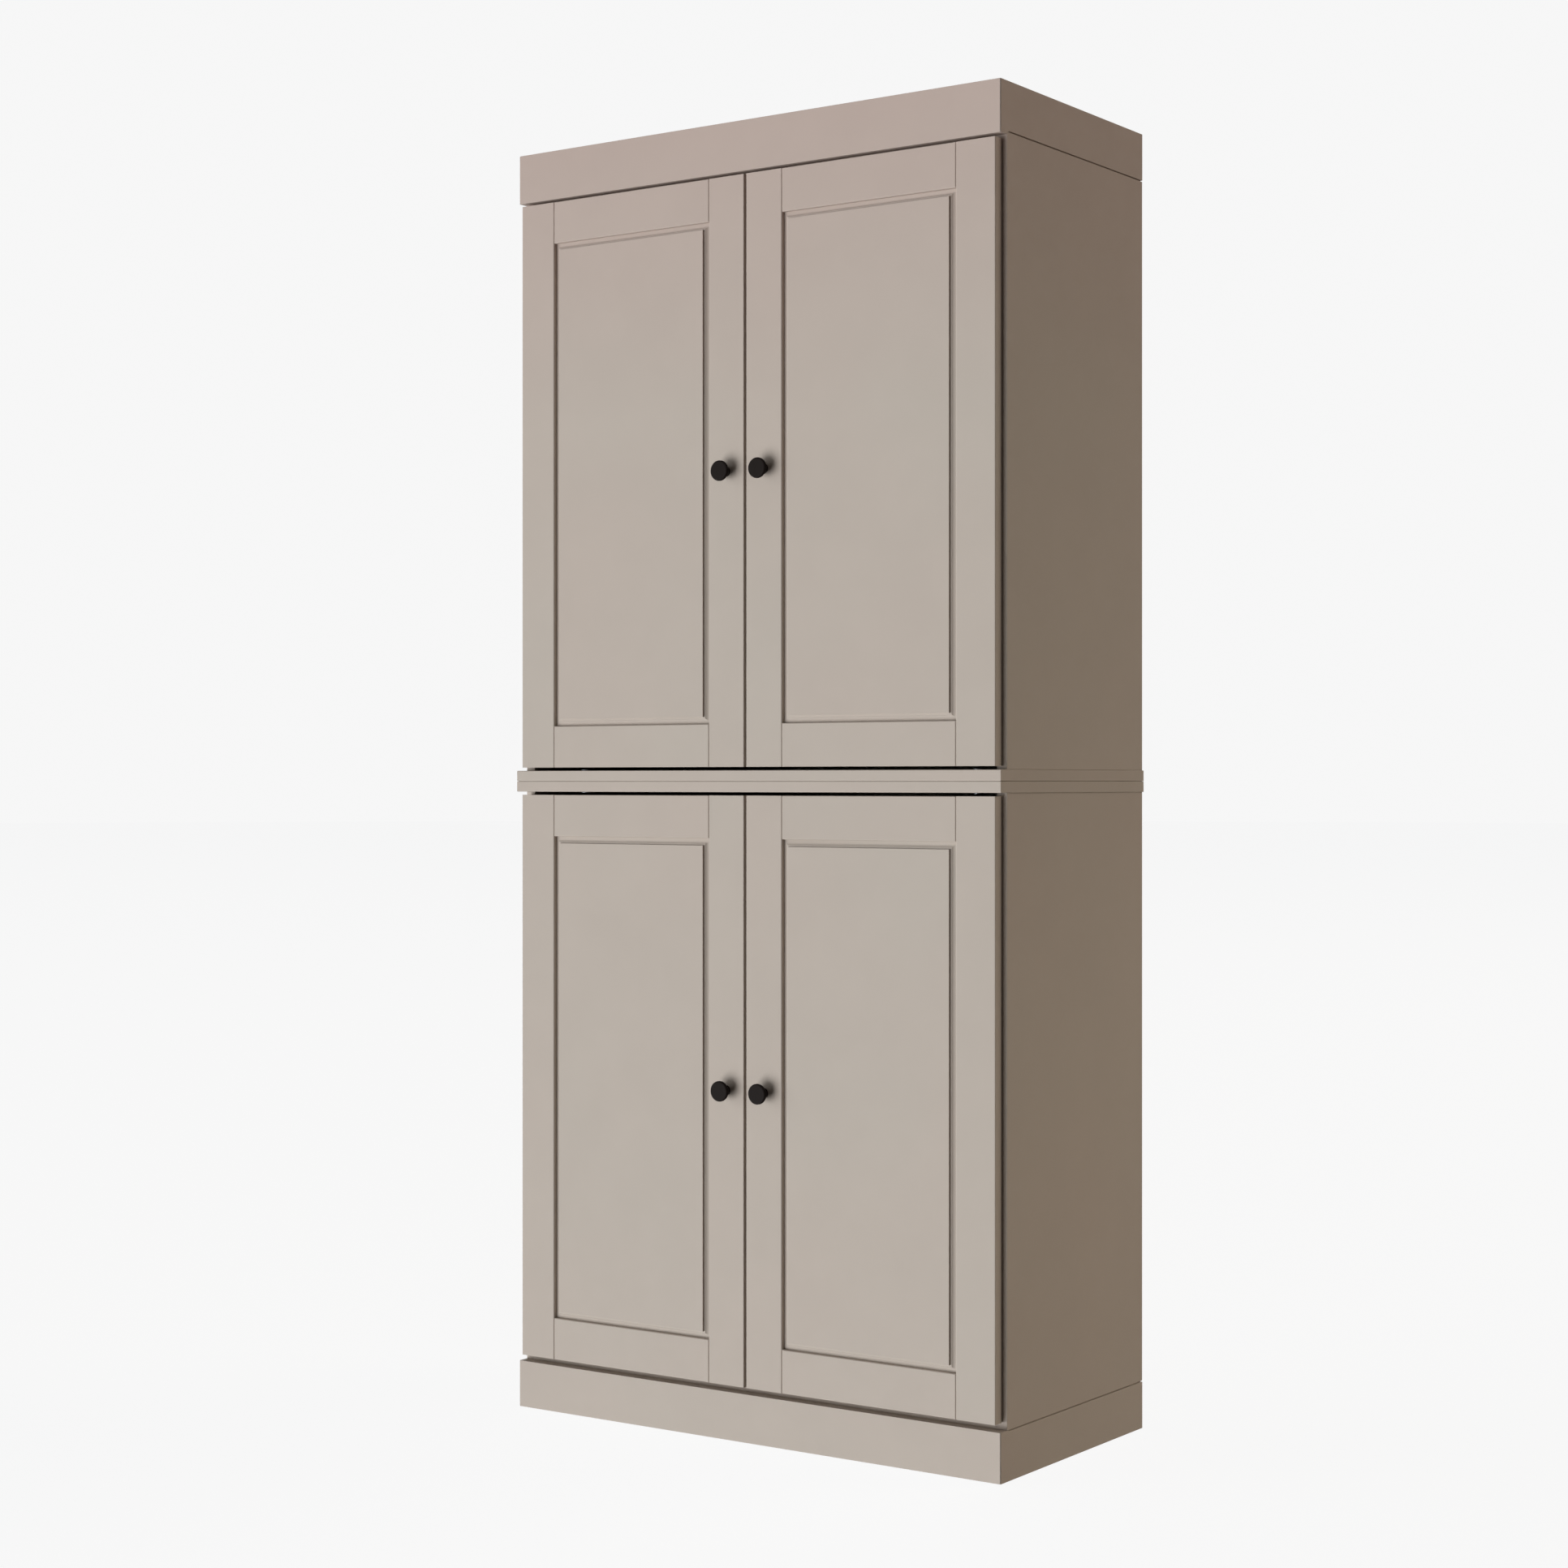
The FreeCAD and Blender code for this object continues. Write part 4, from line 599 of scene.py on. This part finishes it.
# radius and height over the door, from the middle of the face round to the foot
KNOB_PROFILE = ((0.0000, 0.01800), (0.0112, 0.01800), (0.0126, 0.01795), (0.01335, 0.01765),
                (0.0138, 0.01715), (0.0140, 0.01645), (0.0140, 0.01440), (0.0139, 0.01395),
                (0.0136, 0.01350), (0.0074, 0.00310), (0.00705, 0.0023), (0.0070, 0.0015),
                (0.0070, 0.0000), (0.0000, 0.0000))

coat = Shader("matte black coat", **{"Specular IOR Level": COAT_GLOSS})
speckle = coat.noise(SPECKLE_SCALE, 2)
coat_colour = coat.mix(coat.between(speckle, 0, 1), COAT_DARK, COAT_LIGHT)
coat.set(coat.surface, **{"Base Color": coat_colour})
coat.set(coat.surface, Roughness=coat.between(speckle, *COAT_ROUGH))
coat.relief(speckle, SPECKLE_DEPTH)

for door in DOORS:
    node = f"{door}_knob"
    low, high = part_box(node)
    middle = Vector(((low[0] + high[0]) / 2, low[1] + KNOB_PROJECTION, (low[2] + high[2]) / 2))
    turned = bmesh.new()
    rings = []
    for radius, out in KNOB_PROFILE:
        count = KNOB_ROUND if radius else 1
        angles = [2 * math.pi * turn / count for turn in range(count)]
        rings.append([turned.verts.new(middle + Vector((radius * math.cos(angle), -out,
                                                        radius * math.sin(angle))))
                      for angle in angles])
    for ring, following in zip(rings, rings[1:]):
        for turn in range(KNOB_ROUND):
            corners = [ring[turn % len(ring)], ring[(turn + 1) % len(ring)],
                       following[(turn + 1) % len(following)], following[turn % len(following)]]
            turned.faces.new(list(dict.fromkeys(corners)))
    bmesh.ops.recalc_face_normals(turned, faces=turned.faces)
    finished(node + "_piece", turned, coat.material, node=node)

    held = clean_copy(node)
    pieces = sorted(loose_parts(held), key=lambda part: part[1].y)
    bmesh.ops.delete(held, geom=pieces[0][0], context="VERTS")
    _, low, high = loose_parts(held)[0]
    round_over(held, SCREW_EDGE, SOFT_STEPS)
    mark(held, [(Vector((middle.x, high.y, middle.z)), Vector((0, 1, 0)))])
    slotted(f"{door}_knob_screw", held, zinc, SCREW_SLOT, body=door, seed=7)

# ------------------------------------------------------------------ door bumpers
# Soft cloudy dots glued to the edges of the end boards. The closed doors rest on them.

DOT_CLEAR = (0.50, 0.49, 0.47)
DOT_CLOUDY = (0.62, 0.61, 0.59)
DOT_SCALE = 300
DOT_DEPTH = 0.00002
DOT_EDGE = 0.0010

dots = Shader("soft cloudy rubber", Roughness=0.35)
cloudy = dots.noise(DOT_SCALE, 2)
dots.set(dots.surface, **{"Base Color": dots.mix(cloudy, DOT_CLEAR, DOT_CLOUDY)})
dots.relief(cloudy, DOT_DEPTH)
eased("door_bumpers", dots.material, DOT_EDGE, SOFT_STEPS)

# ------------------------------------------------------------------ floor and light
# A pale floor in a pale studio. The main light is large, low and in front on the left, so the
# knobs' shadows fall up and to the right, and a fill is further left. Two warm lights, a high
# and a low one, shine on the right side, and one more on the back.

PALE = (0.928, 0.928, 0.928)
DIM = (0.10, 0.09, 0.082)
FLOOR_RADIUS = 60.0
FLOOR_GLOW = (0.904, 0.906, 0.908)
FLOOR_SEEN = (0.12, 0.12, 0.12)
FLOOR_TRUE = (0.35, 0.35, 0.35)
BLACK = (0.0, 0.0, 0.0)
COOL = (0.93, 0.96, 0.99)
WARM = (1.0, 0.875, 0.72)
DAYLIGHT = (0.96, 0.97, 1.0)


def lamp(name, place, looks_at, size, energy, colour):
    """A round soft light, which shows in nothing but what it lights."""
    light = bpy.data.lights.new(name, "AREA")
    light.shape = "DISK"
    light.size = size
    light.energy = energy
    light.color = colour
    holder = bpy.data.objects.new(name, light)
    bpy.context.scene.collection.objects.link(holder)
    holder.location = place
    holder.rotation_euler = (looks_at - place).to_track_quat("-Z", "Y").to_euler()
    holder.visible_camera = False
    return holder


def far_lamp(name, direction, distance, size, energy, colour):
    """A lamp that looks at the cabinet's middle from far off in one direction."""
    middle = (cad_box[0] + cad_box[1]) / 2
    place = middle + distance * Vector(direction).normalized()
    return lamp(name, place, middle, size, energy, colour)


def without_floor(light, role):
    """Lets a lamp shine through the floor ("blocker"), or keeps its light off it ("receiver")."""
    spared = bpy.data.collections.new(f"{light.name} spares")
    spared.objects.link(floor)
    setattr(light.light_linking, f"{role}_collection", spared)
    spared.collection_objects[0].light_linking.link_state = "EXCLUDE"


def plainly_seen(nodes, links):
    """1 for what is seen straight, in a gloss or through glass, and 0 for what lights matt
    faces."""
    ray = nodes.new("ShaderNodeLightPath")
    total = ray.outputs["Is Camera Ray"]
    for kind in ("Is Glossy Ray", "Is Transmission Ray"):
        more = nodes.new("ShaderNodeMath")
        more.operation = "MAXIMUM"
        links.new(total, more.inputs[0])
        links.new(ray.outputs[kind], more.inputs[1])
        total = more.outputs[0]
    return total


floor_mesh = bpy.data.meshes.new("floor")
disc = bmesh.new()
bmesh.ops.create_circle(disc, cap_ends=True, segments=64, radius=FLOOR_RADIUS)
disc.to_mesh(floor_mesh)
disc.free()
floor = bpy.data.objects.new("floor", floor_mesh)
bpy.context.scene.collection.objects.link(floor)

pale_floor = Shader("pale floor", Roughness=0.9, **{"Specular IOR Level": 0.0,
                                                    "Emission Strength": 1.0})
seen = plainly_seen(pale_floor.nodes, pale_floor.links)
pale_floor.set(pale_floor.surface, **{
    "Base Color": pale_floor.mix(seen, FLOOR_TRUE, FLOOR_SEEN),
    "Emission Color": pale_floor.mix(seen, BLACK, FLOOR_GLOW)})
floor_mesh.materials.append(pale_floor.material)

studio = bpy.data.worlds.new("studio")
bpy.context.scene.world = studio
studio.use_nodes = True
nodes, links = studio.node_tree.nodes, studio.node_tree.links
tone = nodes.new("ShaderNodeMix")
tone.data_type = "RGBA"
links.new(plainly_seen(nodes, links), tone.inputs[0])
tone.inputs[6].default_value = DIM + (1,)
tone.inputs[7].default_value = PALE + (1,)
links.new(tone.outputs[2], nodes["Background"].inputs["Color"])

main_light = far_lamp("main", direction=(-0.49, -1, -0.45), distance=60, size=50.0,
                      energy=39600, colour=COOL)
fill_light = far_lamp("fill", direction=(-1.5, -1, 0.15), distance=30, size=30.0,
                      energy=3950, colour=COOL)
far_lamp("side", direction=(1, 1, 0.5), distance=18, size=13.0, energy=975, colour=WARM)
low_light = lamp("low side", place=Vector((1.9, 0.3, 0.1)), looks_at=Vector((0, 0.2, 0.1)),
                 size=1.0, energy=5.8, colour=WARM)
rear_light = far_lamp("rear", direction=(-0.35, 1, 0.8), distance=18, size=13.0,
                      energy=1500, colour=DAYLIGHT)
without_floor(main_light, "blocker")
without_floor(fill_light, "blocker")
without_floor(low_light, "receiver")
without_floor(rear_light, "receiver")

# ------------------------------------------------------------------ camera
# A long lens in front on the right, at half the cabinet's height. It looks level, so upright
# edges stay upright.

lens = bpy.data.cameras.new("camera")
lens.lens = 65.07
lens.sensor_width = 36
lens.shift_y = -0.0016
lens.clip_end = 200
camera = bpy.data.objects.new("camera", lens)
camera.location = (2.244, -3.318, 0.8996)
camera.rotation_euler = (math.radians(90), 0, math.radians(34.83))
bpy.context.scene.collection.objects.link(camera)
bpy.context.scene.camera = camera
bpy.context.scene.view_settings.view_transform = "Standard"
